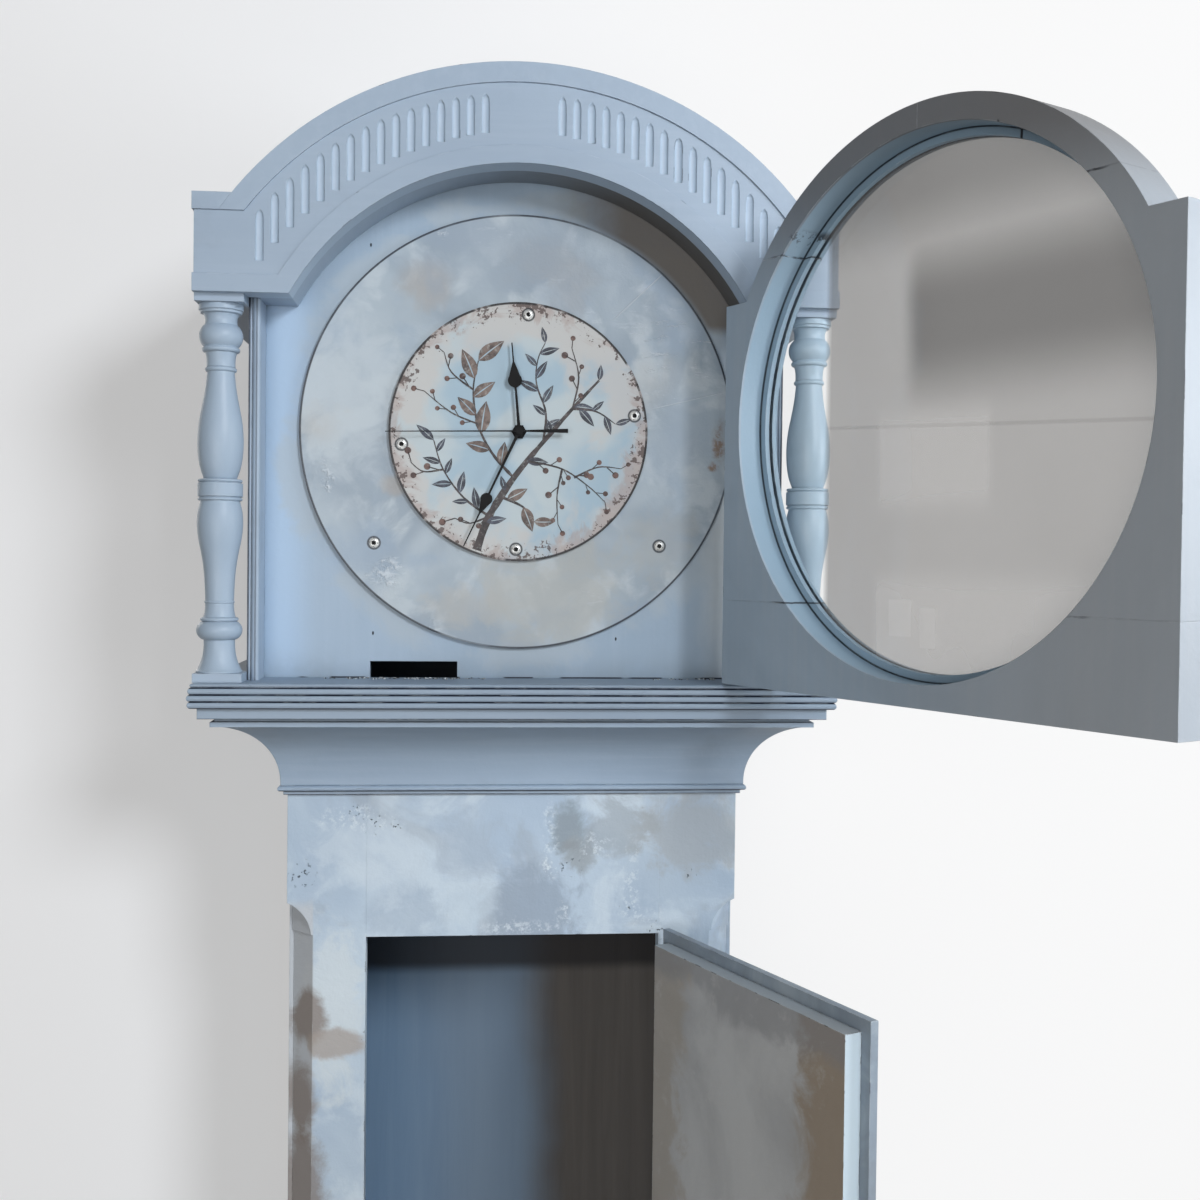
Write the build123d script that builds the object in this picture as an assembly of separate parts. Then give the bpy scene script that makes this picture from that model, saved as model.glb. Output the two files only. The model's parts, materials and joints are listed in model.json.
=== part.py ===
"""Painted longcase clock with an arched hood, as separate pieces of joinery, glass and brass.

Millimetres, +X to the viewer's right, +Y to the back, +Z up. The origin is the centre of the
footprint on the floor. Both doors stand open, as they do at rest.
"""
from build123d import *
from math import cos, radians, sin, sqrt
import os

os.makedirs("parts", exist_ok=True)

# ---------------------------------------------------------------- driving dimensions
# Heights of the stacked sections, from the floor up
plinth_height = 90.0
base_height = 590.0
waist_height = 50.0
trunk_height = 757.8
throat_height = 65.9
hood_base_height = 31.5
hood_door_rail_width = 15.7
column_foot_height = 7.0
column_cap_height = 6.5
frieze_block_height = 63.0
cornice_height = 13.5

# Widths: the trunk's half width, and how far the other sections stand from it on each side
trunk_half = 188.0
trunk_stile_width = 65.0
kicker_room = 19.0
hood_block_overhang = 37.5

# Depths: how far each front stands from the trunk's front; the base stands out as far at the sides
trunk_front = -80.0
back_face = 125.0
base_overhang = 47.0
throat_overhang = 53.7
fascia_overhang = 62.0
reed_overhang = 69.0
frieze_overhang = 64.0

# Board thicknesses
backboard_thickness = 10.0
trunk_side_thickness = 13.0
trunk_front_thickness = 18.0
base_board_thickness = 16.0
hood_side_thickness = 9.5
seatboard_thickness = 20.0
bottom_board_thickness = 12.0
mask_thickness = 9.0
frieze_thickness = 22.0
soffit_thickness = 9.0
roof_thickness = 15.8
plinth_thickness = 12.0

# Arched front of the hood, drawn about the dial's centre
springing_above_centre = 99.5
arch_reveal = 0.2
archivolt_width = 14.2
frieze_width = 63.2
band_proud = 1.2
cornice_proud = 1.5
block_band_height = 13.9
mask_setback = 57.0

# Flutes of the frieze
flute_count_each_side = 16
flute_first = 30.2
flute_last_inset = 2.6
flute_width = 6.6
flute_depth = 2.4
flute_nose = 3.0
flute_nose_shoulder = 4.5
flute_shoulder_rise = 0.7
flute_top_inset = 8.0
flute_length_middle = 31.0
flute_length_end = 40.0

# Trunk door and its opening
top_rail_below_throat = 119.8
bottom_rail_height = 60.0
cant_width = 21.5
cant_stop_length = 27.0
cant_stop_above_opening = 29.0
trunk_door_gap = 1.2
trunk_door_lip = 9.5
trunk_door_lip_thickness = 8.0
trunk_door_panel_thickness = 14.0
trunk_door_open_angle = 114.3
hinge_radius = 3.2
hinge_pin_radius = 1.6
hinge_offset = 3.0
hinge_height = 50.0
hinge_leaf = 1.5
hinge_from_opening_end = 90.0
lock_backset = 24.0
lock_case_length = 50.0
lock_case_height = 64.0
bolt_throw = 8.0

# Hood door
hood_door_gap = 2.0
hood_door_bottom_gap = 1.5
hood_door_thickness = 36.0
hood_door_least_width = 17.5
hood_door_bore_depth = 26.0
glazing_bead_width = 6.0
glass_thickness = 3.0
glass_cover = 3.5
bead_thickness = 4.0
door_arch_joint_above = 127.0
door_rail_joint_below = 136.0
hood_door_open_angle = 117.7
sight_rebate = 3.0
sight_rebate_depth = 4.0
pivot_inset = 9.5
pivot_setback = 4.5
pivot_radius = 2.0
pivot_depth = 9.0
pivot_plate_thickness = 1.2
pivot_plate_length = 30.0
pivot_plate_width = 8.0

# Dial, centre disc, movement and hands
dial_reveal = 1.8
dial_thickness = 4.0
disc_radius = 107.0
disc_thickness = 3.0
dial_screw_inset = 29.1
dial_screw_angle = 128.2
disc_screw_inset = 10.0
disc_screw_angles = (4, 81, 181, 263)
screw_head_radius = 3.6
screw_head_height = 1.6
seatboard_below_centre = 115.0
mask_slot_left = -120.8
mask_slot_width = 71.7
mask_slot_height = 13.8
bush_radius = 4.0
bush_length = 19.5
movement_size = 56.0
movement_depth = 16.0
hour_pipe_radius = 2.54
minute_pipe_radius = 1.64
seconds_pin_radius = 0.69
hand_thickness = 0.8
hand_spacing = 2.0
hand_clear_of_disc = 5.4
hour_hand_length = 73.0
minute_hand_length = 105.0
seconds_hand_length = 109.0
seconds_tail_length = 40.0
hour_spade_from_axis = 42.0
minute_spade_from_axis = 62.0
hour_hand_angle = 354.7
minute_hand_angle = 205.2
seconds_hand_angle = 268.8

# Turned columns, whose members are drawn in parts: the foot's radius is divided into eighteen
column_foot_radius = 18.0
parts_in_foot_radius = 18
column_standoff = 20.5
column_axis_setback = 24.0
column_block_side = 38.0
flats_on_a_vase = 6
flat_length = 6.0

# Clearances
running_gap = 0.06
slide_gap = 0.3
hood_side_gap = 2.0
kicker_gap = 1.5

# ---------------------------------------------------------------- levels and planes
trunk_bottom = base_height + waist_height
throat_bottom = trunk_bottom + trunk_height
throat_top = throat_bottom + throat_height
hood_bottom = throat_top + slide_gap
ledge_top = throat_top + hood_base_height
base_half = trunk_half + base_overhang
door_opening_half = trunk_half - trunk_stile_width
hood_side_inner_half = trunk_half + kicker_room
hood_side_outer_half = hood_side_inner_half + hood_side_thickness
hood_block_half = hood_side_outer_half + hood_block_overhang
column_axis_x = hood_side_outer_half + column_standoff
hood_arch_radius = hood_side_inner_half - arch_reveal
frieze_field_radius = hood_arch_radius + frieze_width
roof_radius = frieze_field_radius + roof_thickness
flute_top_radius = frieze_field_radius - flute_top_inset
flute_span = hood_arch_radius - flute_last_inset - flute_first
hood_door_bore_radius = hood_arch_radius - hood_door_gap - hood_door_least_width
hood_door_sight_radius = hood_door_bore_radius - glazing_bead_width
glass_radius = hood_door_sight_radius + glass_cover
dial_radius = hood_door_sight_radius - dial_reveal

dial_z = ledge_top + hood_door_bottom_gap + hood_door_rail_width + hood_door_bore_radius
springing = dial_z + springing_above_centre
column_height = springing - ledge_top - column_foot_height - column_cap_height
seatboard_bottom = dial_z - seatboard_below_centre
block_top = springing + frieze_block_height
cornice_top = block_top + cornice_height

board_back = back_face - backboard_thickness
base_front_face = trunk_front - base_overhang
frieze_front = trunk_front - frieze_overhang
frieze_back = frieze_front + frieze_thickness
mask_front = frieze_front + mask_setback
mask_back = mask_front + mask_thickness
dial_front = mask_front - dial_thickness
disc_front = dial_front - disc_thickness

hand_front = disc_front - hand_clear_of_disc

opening_top = throat_bottom - top_rail_below_throat
opening_bottom = trunk_bottom + bottom_rail_height
lock_z = (opening_bottom + opening_top) / 2
lip_front = trunk_front - trunk_door_lip_thickness
panel_half = door_opening_half - trunk_door_gap
lip_half = panel_half + trunk_door_lip
trunk_hinge_x = lip_half + hinge_radius - 0.7
trunk_hinge_y = lip_front - hinge_offset
pivot_x = hood_arch_radius - hood_door_gap - pivot_inset
pivot_y = frieze_front + pivot_setback
BACK = (0, 1, 0)


# ---------------------------------------------------------------- shared shapes
def board(x, y, z):
    """A plain board between two limits along each axis."""
    corner = Pos(x[0], y[0], z[0])
    return corner * Box(x[1] - x[0], y[1] - y[0], z[1] - z[0], align=(Align.MIN,) * 3)


def outline(start, *moves):
    """A closed face from a start point and moves.

    A move is a point, for a straight line, or a (middle, end) pair of points, for an arc.
    """
    here, edges = Vector(*start), []
    for move in moves:
        if isinstance(move[0], tuple):
            middle, end = Vector(*move[0]), Vector(*move[1])
            edges.append(Edge.make_three_point_arc(here, middle, end))
        else:
            end = Vector(*move)
            edges.append(Edge.make_line(here, end))
        here = end
    if (here - Vector(*start)).length > 1e-6:
        edges.append(Edge.make_line(here, Vector(*start)))
    return Face(Wire(edges))


def plate(face, front, back):
    """A face drawn as (x, z), made into a plate from front to back."""
    return extrude(Pos(0, front, 0) * (Plane.XZ * face), amount=back - front, dir=BACK)


def post(face, bottom, top):
    """A face drawn in plan as (x, y), made into a post from bottom to top."""
    return extrude(Pos(0, 0, bottom) * face, amount=top - bottom, dir=(0, 0, 1))


def disc(radius, front, back, x=0.0, z=dial_z):
    """A round plate that faces the front."""
    return plate(Pos(x, z) * Circle(radius), front, back)


def turned(face, x, y, z):
    """A face drawn as (radius, height), turned about an upright axis."""
    return Pos(x, y, z) * revolve(Plane.XZ * face, Axis.Z)


def mirror_x(shape):
    """The same piece on the other side of the clock."""
    return mirror(shape, about=Plane.YZ)


def swing(shape, axis_x, axis_y, angle):
    """Turn a piece about an upright hinge axis."""
    return Pos(axis_x, axis_y, 0) * Rot(0, 0, angle) * Pos(-axis_x, -axis_y, 0) * shape


def circle_x(radius, height):
    """Half the width of a circle at a height above its centre."""
    return sqrt(radius * radius - height * height)


def mitred_frame(profile, half, front, bottom, back):
    """A moulding round the front and both sides, mitred at the two front corners.

    The profile is drawn as (distance outwards from the faces, height above bottom).
    Gives the front length and the two returns.
    """
    reach = 3 * base_board_thickness + throat_overhang
    low, high = bottom - 1.0, bottom + profile.bounding_box().max.Y + 1.0
    front_zone = outline(
        (-half - reach, front - reach),
        (half + reach, front - reach),
        (half - reach, front + reach),
        (-half + reach, front + reach),
    )
    zone = post(front_zone, low, high)
    front_plane = Plane((0, front, bottom), x_dir=(0, -1, 0), z_dir=(-1, 0, 0))
    long_run = extrude(front_plane * profile, amount=half + reach, both=True)
    side_plane = Plane((-half, front - reach, bottom), x_dir=(-1, 0, 0), z_dir=BACK)
    side_run = extrude(side_plane * profile, amount=back - front + reach, dir=BACK)
    left = side_run - zone
    return long_run & zone, left, mirror_x(left)


def save(name, *solids):
    """Write one sub-part, made of one solid or of several like ones."""
    shape = solids[0] if len(solids) == 1 else Compound(children=list(solids))
    shape.label = name
    export_step(shape, f"parts/{name}.step")


# ---------------------------------------------------------------- base and plinth
def make_base():
    """The box at the bottom, with its floor board, corner blocks and skirting."""
    inner = base_half - base_board_thickness
    inner_front = base_front_face + base_board_thickness
    save("base_front", board((-base_half, base_half), (base_front_face, inner_front), (0, base_height)))
    side = board((-base_half, -inner), (inner_front, board_back), (0, base_height))
    save("base_side_left", side)
    save("base_side_right", mirror_x(side))

    save("base_floor", board((-inner, inner), (inner_front, board_back), (0, bottom_board_thickness)))

    block_side, block_length = 34.0, 120.0
    corner = outline((-inner, inner_front), (-inner + block_side, inner_front),
                     (-inner, inner_front + block_side))
    lowest, highest = bottom_board_thickness, base_height - block_length
    blocks = []
    for bottom in (lowest, (lowest + highest) / 2, highest):
        block = post(corner, bottom, bottom + block_length)
        blocks += [block, mirror_x(block)]
    save("glue_blocks", *blocks)

    thin = 3.0
    ogee_height = 14.0
    shoulder = plinth_height - ogee_height
    half_way = (shoulder + plinth_height) / 2
    centre = (plinth_thickness + thin) / 2
    skirting = outline(
        (0, 0), (plinth_thickness, 0), (plinth_thickness, shoulder),
        ((plinth_thickness - 0.8, half_way - 3.2), (centre, half_way)),
        ((thin + 0.8, half_way + 3.2), (thin, plinth_height)),
        (0, plinth_height),
    )
    front, left, right = mitred_frame(skirting, base_half, base_front_face, 0, back_face)
    save("plinth_front", front)
    save("plinth_returns", left, right)


# ---------------------------------------------------------------- trunk
def cavetto_profile(height, overhang, top_lip):
    """A small bead at the narrow end, a deep hollow, then a square lip at the wide end."""
    fillet, fillet_out = 2.6, 3.2
    bead_low, bead_high, bead_out, bead_root = 3.2, 7.6, 7.6, 4.8
    hollow_low, hollow_in = 8.6, 5.4
    hollow_high = height - top_lip
    hollow_out = overhang - 3.2
    middle = (hollow_in + 0.29 * (hollow_out - hollow_in), hollow_low + 0.68 * (hollow_high - hollow_low))
    return outline(
        (0, 0), (fillet_out, 0), (fillet_out, fillet), (bead_root, bead_low),
        ((bead_out, (bead_low + bead_high) / 2), (bead_root, bead_high)),
        (hollow_in, hollow_low),
        (middle, (hollow_out, hollow_high)),
        (overhang, hollow_high), (overhang, height), (0, height),
    )


def cant_cutter(opening_low, opening_high):
    """What is planed off the outer corner of a front stile, with a hollow stop at each end."""
    face, corner = trunk_front, -trunk_half
    cant_low = opening_low - cant_stop_above_opening + cant_stop_length
    cant_high = opening_high + cant_stop_above_opening - cant_stop_length
    spare = 5.0
    cut = post(outline((corner - spare, face - spare), (corner + cant_width + spare, face - spare),
                       (corner - spare, face + cant_width + spare)), cant_low, cant_high)
    stop_step = 1.6
    stop_width = cant_width - stop_step
    for level, way in ((cant_high, 1), (cant_low, -1)):
        # A scoop whose axis lies along the cant's width and runs out at the corner
        scoop = outline(
            (corner - spare, level), (corner + stop_width, level),
            ((corner + 0.76 * stop_width, level + way * 0.52 * cant_stop_length),
             (corner - 0.01, level + way * cant_stop_length)),
            (corner - spare, level + way * cant_stop_length),
        )
        across = Plane((0, 0, 0), x_dir=(1, 0, 0), z_dir=(0, -1, 0))
        prism = extrude(Pos(0, face - spare, 0) * (across * scoop), amount=cant_width + 2 * spare, dir=BACK)
        slope = post(outline((corner - spare, face - spare), (corner + stop_width + spare, face - spare),
                             (corner - spare, face + stop_width + spare)),
                     min(level, level + way * cant_stop_length), max(level, level + way * cant_stop_length))
        cut += prism & slope
    return cut


def make_trunk():
    """Sides, front frame, mouldings, seatboard and the strips that the hood slides under."""
    front_back = trunk_front + trunk_front_thickness
    front_low, front_high = base_height, throat_top
    tail_into_base = 60.0
    side = board((-trunk_half, -trunk_half + trunk_side_thickness), (front_back, board_back),
                 (base_height - tail_into_base, seatboard_bottom))
    save("trunk_side_left", side)
    save("trunk_side_right", mirror_x(side))

    stile = board((-trunk_half, -door_opening_half), (trunk_front, front_back), (front_low, front_high))
    stile -= cant_cutter(opening_bottom, opening_top)
    save("trunk_stile_left", stile)
    save("trunk_stile_right", mirror_x(stile))
    rail_x = (-door_opening_half, door_opening_half)
    save("trunk_top_rail", board(rail_x, (trunk_front, front_back), (opening_top, front_high)))
    save("trunk_bottom_rail", board(rail_x, (trunk_front, front_back), (front_low, opening_bottom)))

    throat = cavetto_profile(throat_height, throat_overhang, 3.9)
    front, left, right = mitred_frame(throat, trunk_half, trunk_front, throat_bottom, board_back)
    save("throat_moulding_front", front)
    save("throat_moulding_returns", left, right)

    waist = mirror(cavetto_profile(waist_height, base_overhang, 5.0), about=Plane.XZ)
    waist = Pos(0, waist_height) * waist
    front, left, right = mitred_frame(waist, trunk_half, trunk_front, base_height, board_back)
    save("waist_moulding_front", front)
    save("waist_moulding_returns", left, right)

    seat_half = hood_side_inner_half - 7.0
    seat_front, seat_back = front_back + 4.0, 55.0
    slot_half, slot_width = 62.0, 18.0
    seat_top = seatboard_bottom + seatboard_thickness
    seat = board((-seat_half, seat_half), (seat_front, seat_back), (seatboard_bottom, seat_top))
    for x in (-slot_half, slot_half):
        seat -= board((x - slot_width / 2, x + slot_width / 2), (seat_front + 40.0, seat_back - 25.0),
                      (seatboard_bottom - 1, seat_top + 1))
    save("seatboard", seat)

    kicker = board((-hood_side_inner_half + 4.0, -trunk_half), (front_back, board_back),
                   (ledge_top + kicker_gap, ledge_top + kicker_gap + 18.0))
    save("hood_kickers", kicker, mirror_x(kicker))

    ear_half = hood_side_inner_half - hood_side_gap
    crown = frieze_field_radius - 8.0
    shoulder = dial_z + circle_x(crown, ear_half)
    ear_low = ledge_top + kicker_gap
    backboard = outline(
        (-base_half, 0), (base_half, 0), (base_half, base_height), (trunk_half, base_height),
        (trunk_half, ear_low), (ear_half, ear_low), (ear_half, shoulder),
        ((0, dial_z + crown), (-ear_half, shoulder)),
        (-ear_half, ear_low), (-trunk_half, ear_low), (-trunk_half, base_height),
        (-base_half, base_height),
    )
    save("backboard", plate(backboard, board_back, back_face))


# ---------------------------------------------------------------- hood carcase
def reeded_profile(depth):
    """The hood's bottom moulding: a recess, a plain fascia, three reeds and a rounded ledge."""
    height = ledge_top - hood_bottom
    recess_out = depth - (reed_overhang - throat_overhang) - 3.0
    recess_height = 3.0
    fascia_out = depth - (reed_overhang - fascia_overhang)
    reed_low, reed_pitch, reed_root = 11.6, 5.45, 2.4
    moves = [(recess_out, 0), (recess_out, recess_height), (fascia_out, recess_height),
             (fascia_out, reed_low), (depth - reed_root, reed_low)]
    for index, out in enumerate((depth - 0.5, depth, depth - 0.9)):
        low = reed_low + index * reed_pitch
        root = depth - reed_root
        moves.append(((out, low + reed_pitch / 2), (root, low + reed_pitch)))
    nose = reed_low + 3 * reed_pitch
    moves += [(depth - 3.0, nose + 0.4), (depth - 2.2, nose + 1.6),
              ((depth - 2.9, height - 0.6), (depth - 4.5, height)), (0, height)]
    return outline((0, 0), *moves)


def arch_face(radius, half, low, shoulder):
    """An upright opening with square shoulders and an arch about the dial's centre."""
    start = circle_x(radius, shoulder - dial_z)
    return outline((-half, low), (half, low), (half, shoulder), (start, shoulder),
                   ((0, dial_z + radius), (-start, shoulder)), (-half, shoulder))


def flute_cutter(x):
    """One upright gouge cut in the frieze, square at the foot and running out to a blunt nose."""
    spread = (abs(x) - flute_first) / flute_span
    length = flute_length_middle + spread * (flute_length_end - flute_length_middle)
    top = dial_z + circle_x(flute_top_radius, x)
    half = flute_width / 2
    sweep_radius = (half * half + flute_depth * flute_depth) / (2 * flute_depth)
    axis = frieze_front + flute_depth - sweep_radius
    upright = (Align.CENTER, Align.CENTER, Align.MIN)
    nose_radius = sweep_radius - flute_shoulder_rise
    nose_full = flute_nose * nose_radius / (flute_depth - flute_shoulder_rise)
    straight = length - flute_nose - flute_nose_shoulder
    trough = Pos(x, axis, top - length) * Cylinder(sweep_radius, straight, align=upright)
    shoulder = Pos(x, axis, top - length + straight) * Cone(
        sweep_radius, nose_radius, flute_nose_shoulder, align=upright)
    nose = Pos(x, axis, top - flute_nose) * Cone(nose_radius, 0, nose_full, align=upright)
    return trough + shoulder + nose


def make_frieze():
    """The fluted front board, with a proud band round the arch and under the blocks."""
    arch_foot = circle_x(hood_arch_radius, springing_above_centre)
    field_foot = circle_x(frieze_field_radius, block_top - dial_z)
    half = hood_block_half
    field = outline(
        (-half, springing), (-arch_foot, springing),
        ((0, dial_z + hood_arch_radius), (arch_foot, springing)),
        (half, springing), (half, block_top), (field_foot, block_top),
        ((0, dial_z + frieze_field_radius), (-field_foot, block_top)), (-half, block_top),
    )
    frieze = plate(field, frieze_front, frieze_back)

    band_radius = hood_arch_radius + archivolt_width
    band_top = springing + block_band_height
    band_foot = circle_x(band_radius, band_top - dial_z)
    wide = half + band_proud
    band = outline(
        (-wide, springing), (-arch_foot, springing),
        ((0, dial_z + hood_arch_radius), (arch_foot, springing)),
        (wide, springing), (wide, band_top), (band_foot, band_top),
        ((0, dial_z + band_radius), (-band_foot, band_top)), (-wide, band_top),
    )
    frieze += plate(band, frieze_front - band_proud, frieze_back)

    for index in range(flute_count_each_side):
        x = flute_first + index * flute_span / (flute_count_each_side - 1)
        frieze -= flute_cutter(x)
        frieze -= flute_cutter(-x)

    pivot_hole = Pos(pivot_x, pivot_y, springing) * Cylinder(
        pivot_radius + running_gap, pivot_depth, align=(Align.CENTER, Align.CENTER, Align.MIN))
    return frieze - pivot_hole


def make_hood_carcase():
    """Everything of the hood that carries its columns, arch, roof and mask."""
    base_inner = trunk_half + hood_side_gap
    outer_half = trunk_half + reed_overhang
    depth = outer_half - base_inner
    profile = reeded_profile(depth)
    front, left, right = mitred_frame(profile, base_inner, trunk_front - reed_overhang + depth,
                                      hood_bottom, back_face)
    front -= Pos(pivot_x, pivot_y, ledge_top) * Cylinder(
        pivot_radius + running_gap, pivot_depth, align=(Align.CENTER, Align.CENTER, Align.MAX))
    save("hood_base_front", front)
    save("hood_base_returns", left, right)

    edge_y = frieze_front + 27.0
    inner, outer = -hood_side_inner_half, -hood_side_outer_half
    bead, quirk = 2.9, 1.0
    side = outline(
        (outer, edge_y + bead), (outer, back_face), (inner, back_face), (inner, edge_y + bead),
        ((inner - bead, edge_y), (inner - 2 * bead, edge_y + bead)),
        (inner - 2 * bead, edge_y + bead + quirk), (inner - 2 * bead - quirk, edge_y + bead + quirk),
        (inner - 2 * bead - quirk, edge_y + bead),
    )
    side = post(side, ledge_top, block_top)
    save("hood_side_left", side)
    save("hood_side_right", mirror_x(side))

    save("arch_frieze", make_frieze())

    soffit_outer = arch_face(hood_arch_radius + soffit_thickness, hood_side_inner_half,
                             springing, springing + soffit_thickness)
    soffit_hole = arch_face(hood_arch_radius, hood_side_inner_half + 1, springing - 50.0, springing)
    save("arch_soffit", plate(soffit_outer, frieze_back, mask_front)
         - plate(soffit_hole, frieze_back - 1, mask_front + 1))

    wide = hood_block_half + cornice_proud
    cap_front = frieze_front - cornice_proud
    block = board((-hood_block_half, -hood_side_outer_half), (frieze_back, back_face),
                  (springing, block_top))
    band = board((-hood_block_half - band_proud, -hood_block_half), (frieze_back, back_face),
                 (springing, springing + block_band_height))
    cap = board((-wide, -hood_side_outer_half), (cap_front, back_face), (block_top, cornice_top))
    cap -= disc(roof_radius, cap_front - 1, back_face + 1)
    entablature = block + band + cap
    save("entablature_returns", entablature, mirror_x(entablature))

    roof = disc(roof_radius, cap_front, back_face) - disc(frieze_field_radius, cap_front - 1, back_face + 1)
    roof -= board((-2 * roof_radius, 2 * roof_radius), (cap_front - 1, back_face + 1),
                  (dial_z - 2 * roof_radius, block_top))
    save("hood_roof", roof)

    mask = arch_face(hood_arch_radius + soffit_thickness, hood_side_inner_half,
                     ledge_top, springing + soffit_thickness)
    mask = plate(mask, mask_front, mask_back)
    mask -= board((mask_slot_left, mask_slot_left + mask_slot_width), (mask_front - 1, mask_back + 1),
                  (ledge_top - 1, ledge_top + mask_slot_height))
    mask -= disc(bush_radius + running_gap, mask_front - 1, mask_back + 1)
    save("mask_board", mask)


# ---------------------------------------------------------------- turned columns
def flats_along(curve, count):
    """Short straight cuts that follow a curve."""
    points = [curve @ (index / count) for index in range(count + 1)]
    return [Edge.make_line(start, end) for start, end in zip(points, points[1:])]


def column_face():
    """Half section of a column: bell foot, torus, two vases round a grooved ring, torus and neck."""
    part = column_foot_radius / parts_in_foot_radius

    # Each member is a line to (radius, rise) or an arc through (radius, rise) to (radius, rise)
    foot = [
        (18.0, 1.5), (13.6, 9.5, 12.4, 18.0), (12.8, 0.4), (12.8, 3.0), (13.9, 1.0),
        (17.8, 8.8, 13.9, 17.6), (14.3, 0.5), (14.1, 1.6), (12.2, 4.2, 11.3, 10.4),
        (12.1, 1.0, 11.3, 2.0), (11.2, 0.2),
    ]
    ring = [
        (16.0, 0.5), (17.2, 3.5, 16.0, 7.0), (15.2, 0.6), (15.2, 1.8), (16.0, 0.6),
        (17.2, 3.5, 16.0, 7.0), (13.0, 0.4),
    ]
    head = [
        (11.8, 1.6, 10.4, 3.4), (10.4, 6.0), (11.2, 3.6, 13.4, 5.4), (13.9, 0.4), (13.9, 3.6),
        (13.1, 1.0), (17.4, 9.6, 13.1, 19.2), (12.8, 1.2), (12.2, 7.0, 15.4, 11.6), (17.2, 1.0),
        (17.2, 1.8),
    ]
    vase_peak, lower_vase_end, upper_vase_end = 17.8, 14.6, 10.4
    members = foot + ring + head
    vases = column_height - part * sum(member[-1] for member in members)
    lower_share, lower_peak, upper_peak = 0.47, 0.70, 0.30

    here = Vector(column_foot_radius, 0)
    edges = [Edge.make_line(Vector(0, 0), here)]

    def turn(members, here):
        for member in members:
            end = Vector(part * member[-2], here.Y + part * member[-1])
            if len(member) == 2:
                edges.append(Edge.make_line(here, end))
            else:
                middle = Vector(part * member[0], here.Y + part * member[1])
                curve = Edge.make_three_point_arc(here, middle, end)
                edges.extend(flats_along(curve, max(2, round(curve.length / flat_length))))
            here = end
        return here

    def turn_vase(here, peak_share, length, end_radius):
        peak = Vector(part * vase_peak, here.Y + peak_share * length)
        end = Vector(part * end_radius, here.Y + length)
        curve = Edge.make_spline([here, peak, end], tangents=[(0.1, 1), (0, 1), (-0.25, 1)])
        edges.extend(flats_along(curve, flats_on_a_vase))
        return end

    here = turn(foot, here)
    here = turn_vase(here, lower_peak, lower_share * vases, lower_vase_end)
    here = turn(ring, here)
    here = turn_vase(here, upper_peak, (1 - lower_share) * vases, upper_vase_end)
    here = turn(head, here)
    edges.append(Edge.make_line(here, Vector(0, here.Y)))
    edges.append(Edge.make_line(Vector(0, here.Y), Vector(0, 0)))
    return Face(Wire(edges))


def make_columns():
    """The two free-standing front columns between their square feet and caps."""
    axis_y = frieze_front + column_axis_setback
    foot_top = ledge_top + column_foot_height
    column = turned(column_face(), -column_axis_x, axis_y, foot_top)
    save("column_left", column)
    save("column_right", mirror_x(column))

    block_x = (-hood_side_outer_half - column_block_side, -hood_side_outer_half)
    block_y = (axis_y - column_block_side / 2, axis_y + column_block_side / 2)
    foot = board(block_x, block_y, (ledge_top, foot_top))
    cap = board(block_x, block_y, (springing - column_cap_height, springing))
    save("column_blocks", foot, cap, mirror_x(foot), mirror_x(cap))


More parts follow.
